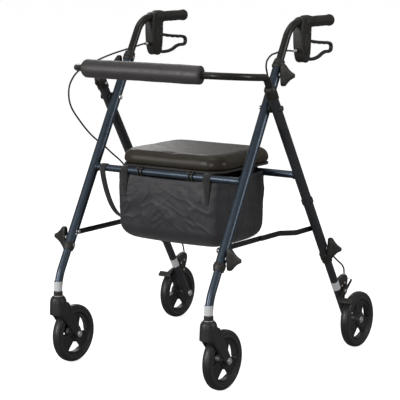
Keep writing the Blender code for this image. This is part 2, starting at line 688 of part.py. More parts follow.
def build_bolt(name, body, centre, x_low, x_high, head=0.0065):
    """Axle bolt along X with a head and a nut, its shank from x_low to x_high."""
    y, z = centre
    profile = [(x_low - 0.0042, 0.0005), (x_low - 0.0042, head - 0.0010), (x_low - 0.0030, head),
               (x_low, head), (x_low, 0.0040), (x_high, 0.0040), (x_high, head),
               (x_high + 0.0030, head), (x_high + 0.0042, head - 0.0010), (x_high + 0.0042, 0.0005)]
    rings = [[Vector((along, y + py, z + pz)) for py, pz in arc((0.0, 0.0), r, 0.0, 337.5, 15)]
             for along, r in profile]
    add_piece(name, loft(rings), body, ZINC)


def build_wheel(name, body, x, y):
    """Moulded wheel: tyre, rim, three broad spokes and hub, bored for its axle."""
    half = WHEEL_WIDTH / 2
    sides = 28
    grow = 1.0 / math.cos(math.pi / sides)
    r = WHEEL_RADIUS * grow
    profile = [(-half, 0.0043), (-half, 0.0160), (-0.0080, 0.0180), (-0.0070, 0.0500), (-half, 0.0560),
               (-half, r - 0.0080), (-0.0075, r - 0.0015), (-0.0035, r),
               (0.0035, r), (0.0075, r - 0.0015), (half, r - 0.0080), (half, 0.0560),
               (0.0070, 0.0500), (0.0080, 0.0180), (half, 0.0160), (half, 0.0043)]
    wheel = add_piece(name, turned(profile, (x, y, WHEEL_RADIUS), "X", sides), body, WHEEL_PLASTIC)
    for k in range(3):
        middle = -90.0 + 120.0 * k
        window = arc((0.0, 0.0), 0.0490, middle - 34.0, middle + 34.0, 5)
        window += arc((0.0, 0.0), 0.0225, middle + 24.0, middle - 24.0, 2)
        points = [(y + py, WHEEL_RADIUS + pz) for py, pz in window]
        cut(wheel, slab(points, x - 0.0150, x + 0.0150), body)


def build_rear_lower_leg(side, s):
    """Inner leg tube that carries the rear wheel's axle and the brake."""
    x = s * REAR_LEG_X
    body = "rear_lower_" + side
    axle = Vector((x, REAR_AXLE_Y, WHEEL_RADIUS))
    top = on_rear_leg(REAR_TUBE_END_Z, x) + REAR_UP * 0.1150
    pipe = tube([axle - REAR_UP * 0.0120, top], LOWER_LEG_RADIUS, LOWER_LEG_RADIUS - TUBE_WALL)
    leg = add_piece("rear_lower_leg_" + side, pipe, body, CHARCOAL)
    cut(leg, rod(axle - Vector((0.02, 0, 0)), axle + Vector((0.02, 0, 0)), 0.0043, sides=12), body)


def leg_point(along, across):
    """(y, z) of a place measured from the rear axle up the leg and square to it."""
    rearward = Vector((0.0, math.cos(REAR_LEAN), math.sin(REAR_LEAN)))
    place = Vector((0.0, REAR_AXLE_Y, WHEEL_RADIUS)) + REAR_UP * along + rearward * across
    return place.y, place.z


def build_brake(side, s):
    """Brake bracket fixed behind the lower leg, and the arm that presses its shoe on the tyre."""
    x = s * REAR_LEG_X
    near = LOWER_LEG_RADIUS + GAP
    outline = [leg_point(0.0620, near), leg_point(0.1200, near), leg_point(0.1215, 0.0300),
               leg_point(0.1170, 0.0470), leg_point(0.1060, 0.0540), leg_point(0.0920, 0.0480),
               leg_point(0.0780, 0.0280)]
    bracket = add_piece("brake_bracket_" + side, slab(outline, x - 0.0070, x + 0.0070),
                        "rear_lower_" + side, PLASTIC)
    add_bevel(bracket, 0.0015, 1, 30.0)
    join(bracket, rod((x, 0.2700, 0.1920), (x, 0.2700, 0.2052), 0.0040), "rear_lower_" + side)

    body = "brake_shoe_" + side
    y, z = SHOE_PIVOT
    shoe_y, shoe_z = 0.2247, 0.1380
    tail_y, tail_z = 0.2880, 0.1820
    plate_low, plate_high = REAR_LEG_X + 0.0116, REAR_LEG_X + 0.0142
    arm_outline = hull_outline([(y, z, 0.0100), (shoe_y, shoe_z, 0.0065)], 8)
    arm = add_piece("brake_arm_" + side, slab(arm_outline, s * plate_low, s * plate_high), body, PLASTIC)
    join(arm, slab(hull_outline([(y, z, 0.0070), (tail_y, tail_z, 0.0035)], 8),
                   s * (plate_low + 0.0002), s * (plate_high - 0.0002)), body)
    join(arm, rod((s * (REAR_LEG_X + 0.0073), y, z), (s * (plate_high + 0.0022), y, z), 0.0030), body)
    block = hull_outline([(shoe_y - 0.0030, shoe_z - 0.0030, 0.0042), (shoe_y + 0.0030, shoe_z + 0.0030, 0.0042)], 6)
    join(arm, slab(block, s * plate_low, s * (REAR_WHEEL_X + 0.0200)), body)


for side, s in SIDES.items():
    build_front_lower_leg(side, s)
    build_caster_fork(side, s)
    caster_x = s * CASTER_X
    build_bolt("caster_axle_" + side, "caster_" + side, (CASTER_AXLE_Y, WHEEL_RADIUS),
               caster_x - 0.0208, caster_x + 0.0208)
    build_wheel("front_wheel_" + side, "front_wheel_" + side, caster_x, CASTER_AXLE_Y)
    build_rear_lower_leg(side, s)
    ends = sorted((s * (REAR_LEG_X - LOWER_LEG_RADIUS - GAP), s * (REAR_WHEEL_X + WHEEL_WIDTH / 2 + GAP)))
    build_bolt("rear_axle_" + side, "rear_lower_" + side, (REAR_AXLE_Y, WHEEL_RADIUS), *ends)
    build_wheel("rear_wheel_" + side, "rear_wheel_" + side, s * REAR_WHEEL_X, REAR_AXLE_Y)
    build_brake(side, s)


# ---------------------------------------------------------------- side braces
def build_brace(side, s):
    """Two flat links that lock the legs apart, meeting side by side in the middle."""
    half = 0.0070
    middle = BRACE_MIDDLE_Y
    front = hull_outline([(BRACE_FRONT.y, BRACE_Z, half), (middle, BRACE_Z, half)], 8)
    link = add_piece("front_brace_" + side, slab(front, s * 0.2192, s * 0.2216), "front_brace_" + side, PLASTIC)
    rivet_end = FRONT_LEG_X - LEG_RADIUS - GAP
    join(link, rod((s * 0.2170, BRACE_FRONT.y, BRACE_Z), (s * rivet_end, BRACE_FRONT.y, BRACE_Z), 0.0045),
         "front_brace_" + side)
    join(link, rod((s * 0.2172, middle, BRACE_Z), (s * 0.2216, middle, BRACE_Z), 0.0045), "front_brace_" + side)

    inner, outer, thick = 0.2221, 0.2528, 0.0024
    plan = [(middle - 0.0070, inner), (middle + 0.0780, inner), (middle + 0.1180, outer),
            (BRACE_REAR.y + 0.0070, outer)]
    rings = []
    for y, x in plan:
        rings.append([Vector((s * (x + a), y, BRACE_Z + b * half))
                      for a, b in ((0.0, -1.0), (thick, -1.0), (thick, 1.0), (0.0, 1.0))])
    link = add_piece("rear_brace_" + side, loft(rings), "rear_brace_" + side, PLASTIC)
    add_bevel(link, 0.0010, 1, 60.0)
    join(link, rod((s * 0.2505, BRACE_REAR.y, BRACE_Z), (s * 0.2535, BRACE_REAR.y, BRACE_Z), 0.0045),
         "rear_brace_" + side)


for side, s in SIDES.items():
    build_brace(side, s)


# ---------------------------------------------------------------- seat, bag and pull strap
def build_seat():
    rail = on_front_leg(FRONT_RAIL_Z)
    board_low = FRONT_RAIL_Z + RAIL_RADIUS + GAP
    board_high = board_low + SEAT_BOARD_THICKNESS
    inset = 0.0100
    rings = [rounded_box_ring(SEAT_HALF_WIDTH - inset, SEAT_FRONT_Y + inset, SEAT_REAR_Y - inset,
                              SEAT_CORNER - inset, z) for z in (board_low, board_high)]
    board = add_piece("seat_board", loft(rings), "seat", PLASTIC)
    for x in (-0.0800, 0.0800):
        inner, outer = RAIL_RADIUS + GAP, RAIL_RADIUS + 0.0036
        hook = arc((rail.y, rail.z), outer, 80.0, 300.0, 14)
        hook += arc((rail.y, rail.z), inner, 300.0, 80.0, 14)
        join(board, slab(hook, x - 0.0070, x + 0.0070), "seat")
    rear = on_rear_leg(REAR_RAIL_Z)
    rest_low = REAR_RAIL_Z + RAIL_RADIUS + GAP
    for x in (-0.1000, 0.1000):
        rest = [(rear.y - 0.0120, rest_low), (rear.y + 0.0120, rest_low),
                (rear.y + 0.0150, board_low + 0.0010), (rear.y - 0.0150, board_low + 0.0010)]
        join(board, slab(rest, x - 0.0120, x + 0.0120), "seat")

    levels = [(board_high + GAP, 0.0060), (board_high + 0.0040, 0.0010), (board_high + 0.0120, 0.0),
              (SEAT_TOP_Z - 0.0150, 0.0020), (SEAT_TOP_Z - 0.0060, 0.0090), (SEAT_TOP_Z - 0.0015, 0.0190),
              (SEAT_TOP_Z, 0.0290)]
    rings = [rounded_box_ring(SEAT_HALF_WIDTH - i, SEAT_FRONT_Y + i, SEAT_REAR_Y - i, SEAT_CORNER - i * 0.6, z)
             for z, i in levels]
    add_piece("seat_pad", loft(rings), "seat", VINYL)


def build_bag():
    """Open-topped bag that hangs between the two cross rails."""
    front, rear = on_front_leg(FRONT_RAIL_Z).y, on_rear_leg(REAR_RAIL_Z).y
    thick = 0.0040
    levels = [(BAG_BOTTOM_Z, 0.0450), (BAG_BOTTOM_Z + 0.0060, 0.0240), (BAG_BOTTOM_Z + 0.0200, 0.0080),
              (BAG_BOTTOM_Z + 0.0450, 0.0), (0.4400, 0.0), (0.4860, 0.0030)]

    def ring(z, inset):
        return rounded_box_ring(BAG_HALF_WIDTH - inset, front - 0.0060 + inset, rear + 0.0160 - inset,
                                0.0300, z, 3)

    rings = [ring(z, inset) for z, inset in levels]
    rings += [ring(max(z, BAG_BOTTOM_Z + thick), inset + thick) for z, inset in reversed(levels[1:])]
    rings.append(ring(BAG_BOTTOM_Z + thick, levels[0][1] + thick))
    bag = add_piece("storage_bag", loft(rings), "front_frame", NYLON)
    for x in (-0.1300, 0.1300):
        for wall, rail, top in ((front - 0.0030, front, FRONT_RAIL_Z), (rear + 0.0140, rear, REAR_RAIL_Z)):
            tab = [Vector((x + a * 0.0110, y + b * 0.0012, z))
                   for y, z in ((wall, 0.4700), (rail, top - RAIL_RADIUS - 0.0004))
                   for a, b in ((-1, -1), (1, -1), (1, 1), (-1, 1))]
            join(bag, loft([tab[:4], tab[4:]]), "front_frame")


PULL_STRAP_ROUTE = [(-0.2000, -0.1930, 0.5060), (-0.1980, -0.1900, 0.4800), (-0.1960, -0.1800, 0.4450),
                    (-0.1970, -0.1620, 0.4120), (-0.1990, -0.1400, 0.3870), (-0.2020, -0.1150, 0.3700),
                    (-0.2040, -0.0900, 0.3600), (-0.2050, -0.0741, 0.3570)]


def build_pull_strap():
    """Webbing from the front rail to the right brace. Pulled up, it folds the frame."""
    add_piece("pull_strap", strip(smooth_route(PULL_STRAP_ROUTE, 16), 0.0180, 0.0016), "front_frame", NYLON)


build_seat()
build_bag()
build_pull_strap()


# ---------------------------------------------------------------- brake cables
REAR_LEG_CLIP = Vector((-0.0125, 0.0175, 0.0))      # cable beside the rear leg, inward and behind


def along_rear_leg(z):
    return on_rear_leg(z, REAR_LEG_X) + REAR_LEG_CLIP


LOWER_ROUTE = [tuple(along_rear_leg(z)) for z in (0.4300, 0.3900, 0.3500, 0.3100)]
LOWER_ROUTE += [(0.2575, 0.1900, 0.2850), (0.2600, 0.2200, 0.2600), (0.2640, 0.2490, 0.2340),
                (0.2685, 0.2680, 0.2180), (0.2685, 0.2695, 0.2120), (0.2685, 0.2698, 0.2062)]
LEFT_ROUTE = [(FRONT_LEG_X, CABLE_STOP_Y, CABLE_STOP_Z), (FRONT_LEG_X, 0.0400, 0.8200), (0.2330, 0.0270, 0.8215), (0.2245, 0.0080, 0.8210),
              (0.2210, -0.0120, 0.8170), (0.2205, -0.0340, 0.8130), (0.2205, -0.0520, 0.8010),
              (0.2200, -0.0560, 0.7860), (0.2195, -0.0500, 0.7680), (0.2195, -0.0410, 0.7400),
              (0.2230, -0.0340, 0.7050), (0.2380, -0.0270, 0.6600), (0.2530, -0.0090, 0.6100),
              (0.2560, 0.0220, 0.5450), (0.2560, 0.0550, 0.4900)]
RIGHT_ROUTE = [(FRONT_LEG_X, CABLE_STOP_Y, CABLE_STOP_Z), (FRONT_LEG_X, 0.0400, 0.8200), (0.2420, 0.0270, 0.8170), (0.2510, 0.0050, 0.8110),
               (0.2590, -0.0180, 0.8060), (0.2670, -0.0630, 0.7970), (0.2800, -0.1080, 0.7830),
               (0.2910, -0.1720, 0.7600), (0.2960, -0.2020, 0.7310), (0.2970, -0.2100, 0.6990),
               (0.2960, -0.2010, 0.6640), (0.2890, -0.1740, 0.6250), (0.2810, -0.1460, 0.5920),
               (0.2700, -0.1240, 0.5690), (0.2570, -0.1100, 0.5530), (0.2430, -0.0980, 0.5350),
               (0.2320, -0.0780, 0.5150), (0.2330, -0.0450, 0.4900), (0.2420, -0.0020, 0.4720),
               (0.2475, 0.0420, 0.4600), (0.2490, 0.0680, 0.4480)]


def build_cable(side, s, route):
    points = smooth_route([(s * px, py, pz) for px, py, pz in route + LOWER_ROUTE], 51)
    curve = bpy.data.curves.new("brake_cable_" + side, "CURVE")
    curve.dimensions = "3D"
    curve.bevel_depth = CABLE_RADIUS
    curve.bevel_resolution = 2
    curve.use_fill_caps = True
    spline = curve.splines.new("POLY")
    spline.points.add(len(points) - 1)
    origin = bodies["front_frame"][1]
    for point, place in zip(spline.points, points):
        point.co = (*(place - origin), 1.0)
    curve.materials.append(CABLE)
    cable = bpy.data.objects.new("brake_cable_" + side, curve)
    bpy.context.scene.collection.objects.link(cable)
    cable.parent = bodies["front_frame"][0]


build_cable("left", SIDES["left"], LEFT_ROUTE)
build_cable("right", SIDES["right"], RIGHT_ROUTE)
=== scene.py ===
import json
import math

import bmesh
import bpy
from mathutils import Matrix, Vector, noise

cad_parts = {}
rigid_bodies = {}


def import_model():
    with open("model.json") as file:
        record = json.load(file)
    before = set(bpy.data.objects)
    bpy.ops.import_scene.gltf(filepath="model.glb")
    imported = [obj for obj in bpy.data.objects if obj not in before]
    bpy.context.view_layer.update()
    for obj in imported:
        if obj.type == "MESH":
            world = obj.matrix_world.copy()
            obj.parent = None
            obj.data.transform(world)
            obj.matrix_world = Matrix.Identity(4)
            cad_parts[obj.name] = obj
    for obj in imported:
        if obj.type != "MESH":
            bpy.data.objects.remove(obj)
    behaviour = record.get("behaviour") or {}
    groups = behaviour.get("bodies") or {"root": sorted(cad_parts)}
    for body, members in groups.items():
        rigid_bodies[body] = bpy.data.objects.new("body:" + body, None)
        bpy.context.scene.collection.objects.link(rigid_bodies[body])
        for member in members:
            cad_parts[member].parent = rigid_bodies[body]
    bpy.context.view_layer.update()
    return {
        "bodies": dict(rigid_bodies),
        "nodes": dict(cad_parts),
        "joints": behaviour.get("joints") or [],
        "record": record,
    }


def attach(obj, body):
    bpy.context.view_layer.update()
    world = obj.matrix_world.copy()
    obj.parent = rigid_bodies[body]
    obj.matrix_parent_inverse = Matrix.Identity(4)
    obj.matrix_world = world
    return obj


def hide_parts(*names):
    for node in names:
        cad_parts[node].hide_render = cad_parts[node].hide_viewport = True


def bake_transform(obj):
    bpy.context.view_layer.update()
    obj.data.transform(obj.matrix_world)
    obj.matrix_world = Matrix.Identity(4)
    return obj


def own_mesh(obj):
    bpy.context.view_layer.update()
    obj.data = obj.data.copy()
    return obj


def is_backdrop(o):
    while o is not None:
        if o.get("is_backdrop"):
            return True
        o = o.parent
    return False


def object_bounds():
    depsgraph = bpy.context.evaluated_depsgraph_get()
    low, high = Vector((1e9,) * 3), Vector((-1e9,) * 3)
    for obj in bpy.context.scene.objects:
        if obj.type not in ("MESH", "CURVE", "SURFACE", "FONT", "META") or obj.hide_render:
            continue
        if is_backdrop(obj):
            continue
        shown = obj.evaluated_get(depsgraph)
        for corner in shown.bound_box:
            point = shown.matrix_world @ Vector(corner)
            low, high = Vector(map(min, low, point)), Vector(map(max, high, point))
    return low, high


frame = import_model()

noise.seed_set(7)

# ---------------------------------------------------------------- sizes, in metres
GAP = 0.0003
WHEEL_RADIUS = 0.0762
WHEEL_WIDTH = 0.024
REAR_AXLE_Y = 0.2865
STEM_Y = -0.3355
CASTER_AXLE_Y = -0.2755
REAR_WHEEL_X = 0.302
PIVOT_Y, PIVOT_Z = -0.083, 0.685
FRONT_LEAN = math.radians(29.0)
REAR_LEAN = math.atan2(REAR_AXLE_Y - PIVOT_Y, PIVOT_Z - WHEEL_RADIUS)
FRONT_X, REAR_X = 0.2375, 0.2685
LEG, LEG_BORE = 0.013, 0.011                 # radii of tubes, as on the next lines
LOWER = 0.0105
HANDLE = 0.01025
RAIL = 0.0095
BACKREST = 0.009
FOAM = 0.0235
COLLAR = 0.0155
FRONT_TOP, FRONT_END = 0.79, 0.312
REAR_TOP, REAR_END = 0.735, 0.266
FRONT_RAIL_Z, REAR_RAIL_Z, BRACE_Z = 0.509, 0.503, 0.349
BACK_Z, BACK_DROP, BACK_Y, BACK_BEND = 0.778, 0.08, -0.282, 0.115
FOAM_HALF = 0.178
GRIP_Z, GRIP_FRONT, GRIP_REAR, GRIP_R = 0.891, 0.1215, 0.231, 0.0142
SEAT_HALF, SEAT_FRONT, SEAT_REAR, SEAT_TOP, SEAT_CORNER = 0.168, -0.189, 0.094, 0.561, 0.05
BOARD_LOW = FRONT_RAIL_Z + RAIL + GAP
BOARD_HIGH = BOARD_LOW + 0.0062
BAG_HALF, BAG_BOTTOM = 0.168, 0.328
CABLE = 0.0023
WALL = 0.0015
VOXEL = 0.0009                                # of small mouldings
CABLE_STOP = (0.045, 0.82)
LEVER_PIVOT = (0.097, 0.844)
SHOE_PIVOT = (0.2545, 0.158)
HANDLE_KNOB_Z, FRONT_KNOB_Z, REAR_KNOB_Z = 0.765, 0.332, 0.294
LEG_SLOT_Z, LEG_STUD_Z = 0.393, 0.342
CLIP_Z = 0.43
LOOP_X = 0.13                               # webbing loops of the bag, from the middle
HINGE_X, REST_X = 0.08, 0.1              # hooks and rests under the seat, from the middle

FRONT_UP = Vector((0.0, math.sin(FRONT_LEAN), math.cos(FRONT_LEAN)))
REAR_UP = Vector((0.0, -math.sin(REAR_LEAN), math.cos(REAR_LEAN)))
MIRROR = Matrix.Scale(-1.0, 4, (1.0, 0.0, 0.0))
SIDES = (("left", Matrix.Identity(4)), ("right", MIRROR))


def front_leg(z, x=0.0):
    return Vector((x, PIVOT_Y + (z - PIVOT_Z) * math.tan(FRONT_LEAN), z))


def rear_leg(z, x=0.0):
    return Vector((x, PIVOT_Y - (z - PIVOT_Z) * math.tan(REAR_LEAN), z))


FRONT_RAIL, REAR_RAIL = front_leg(FRONT_RAIL_Z), rear_leg(REAR_RAIL_Z)


# ---------------------------------------------------------------- camera
camera_data = bpy.data.cameras.new("photo_view")
camera_data.lens = 143.1
camera_data.sensor_width = 36.0
camera = bpy.data.objects.new("photo_view", camera_data)
bpy.context.scene.collection.objects.link(camera)
camera.location = (2.375, -3.4358, 1.1151)
aim = Vector((-0.0179, -0.006, 0.4155)) - camera.location
camera.rotation_euler = aim.to_track_quat("-Z", "Y").to_euler()
bpy.context.scene.camera = camera


# ---------------------------------------------------------------- materials
def node_maker(tree):
    """Function that adds a node to a tree and fills its inputs with values or with other outputs."""
    def node(kind, inputs):
        fresh = tree.nodes.new("ShaderNode" + kind)
        for key, value in inputs.items():
            if isinstance(value, bpy.types.NodeSocket):
                tree.links.new(value, fresh.inputs[key])
            else:
                fresh.inputs[key].default_value = value
        return fresh
    return node


def shade(colour, factor):
    return (*(min(c * factor, 1.0) for c in colour), 1.0)


def material(name, base, rough, metallic=0.0, coat=0.0, sheen=0.0, vary=0.14, patch=28.0, grain=1100.0,
             bump=0.2, depth=0.00012, rough_vary=0.07, cells=False, weave=0.0, wear=None, specular=0.5):
    """Finish with colour drift, uneven roughness and a fine surface relief."""
    made = bpy.data.materials.new(name)
    made.use_nodes = True
    node, links = node_maker(made.node_tree), made.node_tree.links
    shader = made.node_tree.nodes["Principled BSDF"]
    for socket, value in (("Metallic", metallic), ("Coat Weight", coat), ("Coat Roughness", 0.18),
                          ("Sheen Weight", sheen), ("Specular IOR Level", specular)):
        shader.inputs[socket].default_value = value
    place = node("TexCoord", {}).outputs["Object"]

    def blotches(scale, detail):
        return node("TexNoise", {"Vector": place, "Scale": scale, "Detail": detail}).outputs[0]

    def mixed(factor, first, second):
        blend = node("Mix", {})
        blend.data_type = "RGBA"
        links.new(factor, blend.inputs["Factor"])
        for socket, value in ((blend.inputs[6], first), (blend.inputs[7], second)):
            if isinstance(value, tuple):
                socket.default_value = value
            else:
                links.new(value, socket)
        return blend.outputs[2]

    def remap(value, low, high, to_low, to_high):
        return node("MapRange", {"Value": value, "From Min": low, "From Max": high, "To Min": to_low,
                                 "To Max": to_high}).outputs["Result"]

    def weighted_sum(first, weight, second):
        add = node("Math", {0: first, 1: weight, 2: second})
        add.operation = "MULTIPLY_ADD"
        return add.outputs[0]

    drift = remap(blotches(patch, 3.0), 0.3, 0.7, 0.0, 1.0)
    colour = mixed(drift, shade(base, 1.0 - vary), shade(base, 1.0 + vary))
    relief = blotches(grain, 2.0)
    if cells:
        pits = node("TexVoronoi", {"Vector": place, "Scale": grain * 0.55}).outputs["Distance"]
        relief = weighted_sum(pits, 0.8, relief)
    if weave:
        for direction in "XYZ":
            wave = node("TexWave", {"Vector": place, "Scale": weave})
            wave.bands_direction = direction
            relief = weighted_sum(wave.outputs[1], 0.55, relief)
        colour = mixed(remap(relief, 0.7, 1.9, 0.0, 1.0), shade(base, 0.72), colour)
    if wear:
        edge = node("NewGeometry", {}).outputs["Pointiness"]
        colour = mixed(remap(edge, 0.515, 0.6, 0.0, 0.8), colour, (*wear, 1.0))
    links.new(colour, shader.inputs["Base Color"])
    spread = blotches(patch * 3.1, 4.0)
    rough_range = max(rough - rough_vary, 0.05), min(rough + rough_vary, 1.0)
    links.new(remap(spread, 0.3, 0.7, *rough_range), shader.inputs["Roughness"])
    normal = node("Bump", {"Strength": bump, "Distance": depth, "Height": relief})
    links.new(normal.outputs["Normal"], shader.inputs["Normal"])
    return made


BLUE = material("steel_blue_lacquer", (0.064, 0.086, 0.114), 0.36, 0.85, coat=0.3, vary=0.08,
                grain=300.0, bump=0.004, depth=0.00001, rough_vary=0.04)
CHARCOAL = material("charcoal_lacquer", (0.05, 0.052, 0.06), 0.4, 0.45, coat=0.2, vary=0.12,
                    grain=500.0, bump=0.06, depth=0.00003)
BLACK_TUBE = material("black_tube_lacquer", (0.013, 0.011, 0.009), 0.34, 0.1, coat=0.2, vary=0.15,
                      grain=500.0, bump=0.06, depth=0.00003)
PLASTIC = material("moulded_plastic", (0.021, 0.019, 0.017), 0.46, vary=0.16, grain=1300.0, bump=0.22,
                   wear=(0.06, 0.056, 0.052))
FORK = material("fork_plastic", (0.024, 0.022, 0.022), 0.4, vary=0.14, grain=900.0, bump=0.18,
                wear=(0.075, 0.07, 0.068))
RIM = material("wheel_centre_plastic", (0.02, 0.018, 0.018), 0.42, vary=0.14, grain=1100.0, bump=0.18,
               wear=(0.06, 0.056, 0.054))
TYRE = material("tyre_rubber", (0.02, 0.019, 0.019), 0.38, vary=0.2, patch=60.0, grain=800.0, bump=0.28,
                depth=0.00018, wear=(0.055, 0.052, 0.05))
RUBBER = material("grip_rubber", (0.023, 0.02, 0.018), 0.52, vary=0.16, grain=750.0, bump=0.35, cells=True,
                  depth=0.00018)
FOAM_SKIN = material("foam_skin", (0.036, 0.031, 0.03), 0.45, specular=0.8, sheen=0.05, vary=0.1,
                     grain=1400.0, bump=0.55, depth=0.00035, cells=True)
VINYL = material("seat_vinyl", (0.04, 0.033, 0.024), 0.37, specular=0.32, vary=0.12, patch=16.0,
                 grain=620.0, bump=0.3, depth=0.00022, cells=True)
NYLON = material("bag_nylon", (0.036, 0.032, 0.037), 0.5, sheen=0.15, vary=0.14, patch=20.0, grain=500.0,
                 bump=0.5, depth=0.00025, weave=210.0)
WEBBING = material("webbing", (0.018, 0.017, 0.018), 0.72, sheen=0.3, vary=0.14, grain=900.0, bump=0.6,
                   depth=0.0003, weave=120.0)
THREAD = material("stitching", (0.06, 0.056, 0.054), 0.7, vary=0.15, grain=2000.0, bump=0.3)
ZINC = material("zinc_plating", (0.8, 0.8, 0.8), 0.4, 1.0, vary=0.08, patch=120.0, grain=1800.0,
                bump=0.12, depth=0.00005, rough_vary=0.09)
JACKET = material("cable_jacket", (0.014, 0.013, 0.013), 0.38, vary=0.12, grain=1200.0, bump=0.15)
LABEL = material("blank_label", (0.78, 0.79, 0.8), 0.45, vary=0.03, grain=1500.0, bump=0.08, depth=0.00004)


# ---------------------------------------------------------------- mesh helpers
def loft(rings, caps=True, closed=False):
    """Skin a list of equal-length point rings."""
    mesh = bmesh.new()
    loops = [[mesh.verts.new(point) for point in ring] for ring in rings]
    count = len(loops[0])
    pairs = list(zip(loops, loops[1:])) + ([(loops[-1], loops[0])] if closed else [])
    for low, high in pairs:
        for i in range(count):
            k = (i + 1) % count
            mesh.faces.new((low[i], low[k], high[k], high[i]))
    if caps and not closed:
        mesh.faces.new(list(reversed(loops[0])))
        mesh.faces.new(loops[-1])
    return mesh


def ring_frames(path):
    """Centre and two unit normals at each point of a path, without twist."""
    points = [Vector(p) for p in path]
    frames, normal = [], None
    for i, point in enumerate(points):
        before, after = points[max(i - 1, 0)], points[min(i + 1, len(points) - 1)]
        arrive = (point - before).normalized() if i else (after - point).normalized()
        leave = (after - point).normalized() if i < len(points) - 1 else arrive
        tangent = (arrive + leave).normalized()
        if normal is None:
            helper = Vector((1.0, 0.0, 0.0)) if abs(tangent.x) < 0.9 else Vector((0.0, 0.0, 1.0))
            normal = tangent.cross(helper).normalized()
        normal = (normal - tangent * normal.dot(tangent)).normalized()
        frames.append((point, normal, tangent.cross(normal)))
    return frames


def tube(path, radius, bore=0.0, sides=36):
    """Round bar or pipe along a path. The radius may be a list, one for each point."""
    frames = ring_frames(path)
    radii = radius if isinstance(radius, (list, tuple)) else [radius] * len(frames)

    def circle(frame, size):
        centre, first, second = frame
        turns = [math.tau * (i + 0.5) / sides for i in range(sides)]
        return [centre + (first * math.cos(a) + second * math.sin(a)) * size for a in turns]

    outer = [circle(f, r) for f, r in zip(frames, radii)]
    if not bore:
        return loft(outer)
    inner = [circle(f, bore) for f in reversed(frames)]
    return loft(outer + inner, closed=True)


def turned(profile, centre=(0, 0, 0), axis="X", sides=48, closed=True):
    """Profile of (along, radius) points turned about an axis through centre."""
    rings = []
    for i in range(sides):
        angle = math.tau * (i + 0.5) / sides
        c, s = math.cos(angle), math.sin(angle)
        turn = {"X": lambda a, r: (a, r * s, r * c), "Y": lambda a, r: (r * c, a, r * s),
                "Z": lambda a, r: (r * c, r * s, a)}[axis]
        rings.append([Vector(centre) + Vector(turn(a, r)) for a, r in profile])
    return loft(rings, closed=closed)


def pin(low, high, radius, soft=0.0006, centre=(0, 0, 0), axis="X", sides=32):
    """Short round bar along an axis with softened rims."""
    soft = min(soft, radius * 0.5, (high - low) * 0.45)
    step, inside = soft * 0.3, radius - soft * 0.3
    profile = [(low, 0.0002), (low, radius - soft), (low + step, inside), (low + soft, radius),
               (high - soft, radius), (high - step, inside), (high, radius - soft), (high, 0.0002)]
    return turned(profile, centre, axis, sides)


def hexagon(low, high, radius, centre=(0, 0, 0)):
    """Hexagon nut or bolt head along X, its corners rounded off at the outer face."""
    return turned([(low, 0.0002), (low, radius * 0.93), (low + 0.0006, radius), (high - 0.0006, radius),
                   (high, radius * 0.93), (high, 0.0002)], centre, "X", 6)


def slab(outline, x_low, x_high, soft=0.0):
    """Outline of (y, z) points given a thickness along X, with rounded rims where soft is given."""
    levels = [(x_low, 0.0), (x_high, 0.0)]
    if soft:
        levels = [(x_low, soft), (x_low + soft * 0.3, soft * 0.3), (x_low + soft, 0.0),
                  (x_high - soft, 0.0), (x_high - soft * 0.3, soft * 0.3), (x_high, soft)]
    return loft([[Vector((x, y, z)) for y, z in inset(outline, d)] for x, d in levels])


def inset(outline, amount):
    """Outline moved inward by an amount along its own normals."""
    if not amount:
        return list(outline)
    count = len(outline)
    area = sum(outline[i][0] * outline[(i + 1) % count][1] - outline[(i + 1) % count][0] * outline[i][1]
               for i in range(count))
    sign = 1.0 if area > 0 else -1.0
    moved = []
    for i, (y, z) in enumerate(outline):
        (ay, az), (by, bz) = outline[i - 1], outline[(i + 1) % count]
        ty, tz = by - ay, bz - az
        length = math.hypot(ty, tz) or 1.0
        moved.append((y - sign * tz / length * amount, z + sign * ty / length * amount))
    return moved


def squared(wave, power):
    """Sine or cosine bent towards a squarer outline."""
    return math.copysign(abs(wave) ** power, wave)


def arc(centre, radius, start, end, steps):
    """Points on a circle from one angle to another, in degrees."""
    turns = [math.radians(start + (end - start) * i / steps) for i in range(steps + 1)]
    return [(centre[0] + radius * math.cos(a), centre[1] + radius * math.sin(a)) for a in turns]


def hull(circles, steps=20):
    """Convex outline around circles of (y, z, radius)."""
    points = []
    for y, z, radius in circles:
        points += arc((y, z), radius, 0.0, 360.0 - 360.0 / (2 * steps), 2 * steps - 1)
    points = sorted(set(points))

    def half(sequence):
        chain = []
        for point in sequence:
            while len(chain) > 1:
                (ay, az), (by, bz) = chain[-2], chain[-1]
                if (by - ay) * (point[1] - az) - (bz - az) * (point[0] - ay) > 0:
                    break
                chain.pop()
            chain.append(point)
        return chain[:-1]

    return half(points) + half(list(reversed(points)))


def rounded_path(corners, radius, steps=14):
    """Path through corners, each inner corner rounded to a radius."""
    points = [Vector(corners[0])]
    for before, corner, after in zip(corners, corners[1:], corners[2:]):
        corner = Vector(corner)
        back, ahead = (Vector(before) - corner).normalized(), (Vector(after) - corner).normalized()
        half = back.angle(ahead) / 2.0
        reach = radius / math.tan(half)
        centre = corner + (back + ahead).normalized() * (radius / math.sin(half))
        start, end = corner + back * reach - centre, corner + ahead * reach - centre
        sweep = start.angle(end)
        for i in range(steps + 1):
            t = i / steps
            blend = start * math.sin((1 - t) * sweep) + end * math.sin(t * sweep)
            points.append(centre + blend / math.sin(sweep))
    points.append(Vector(corners[-1]))
    return points


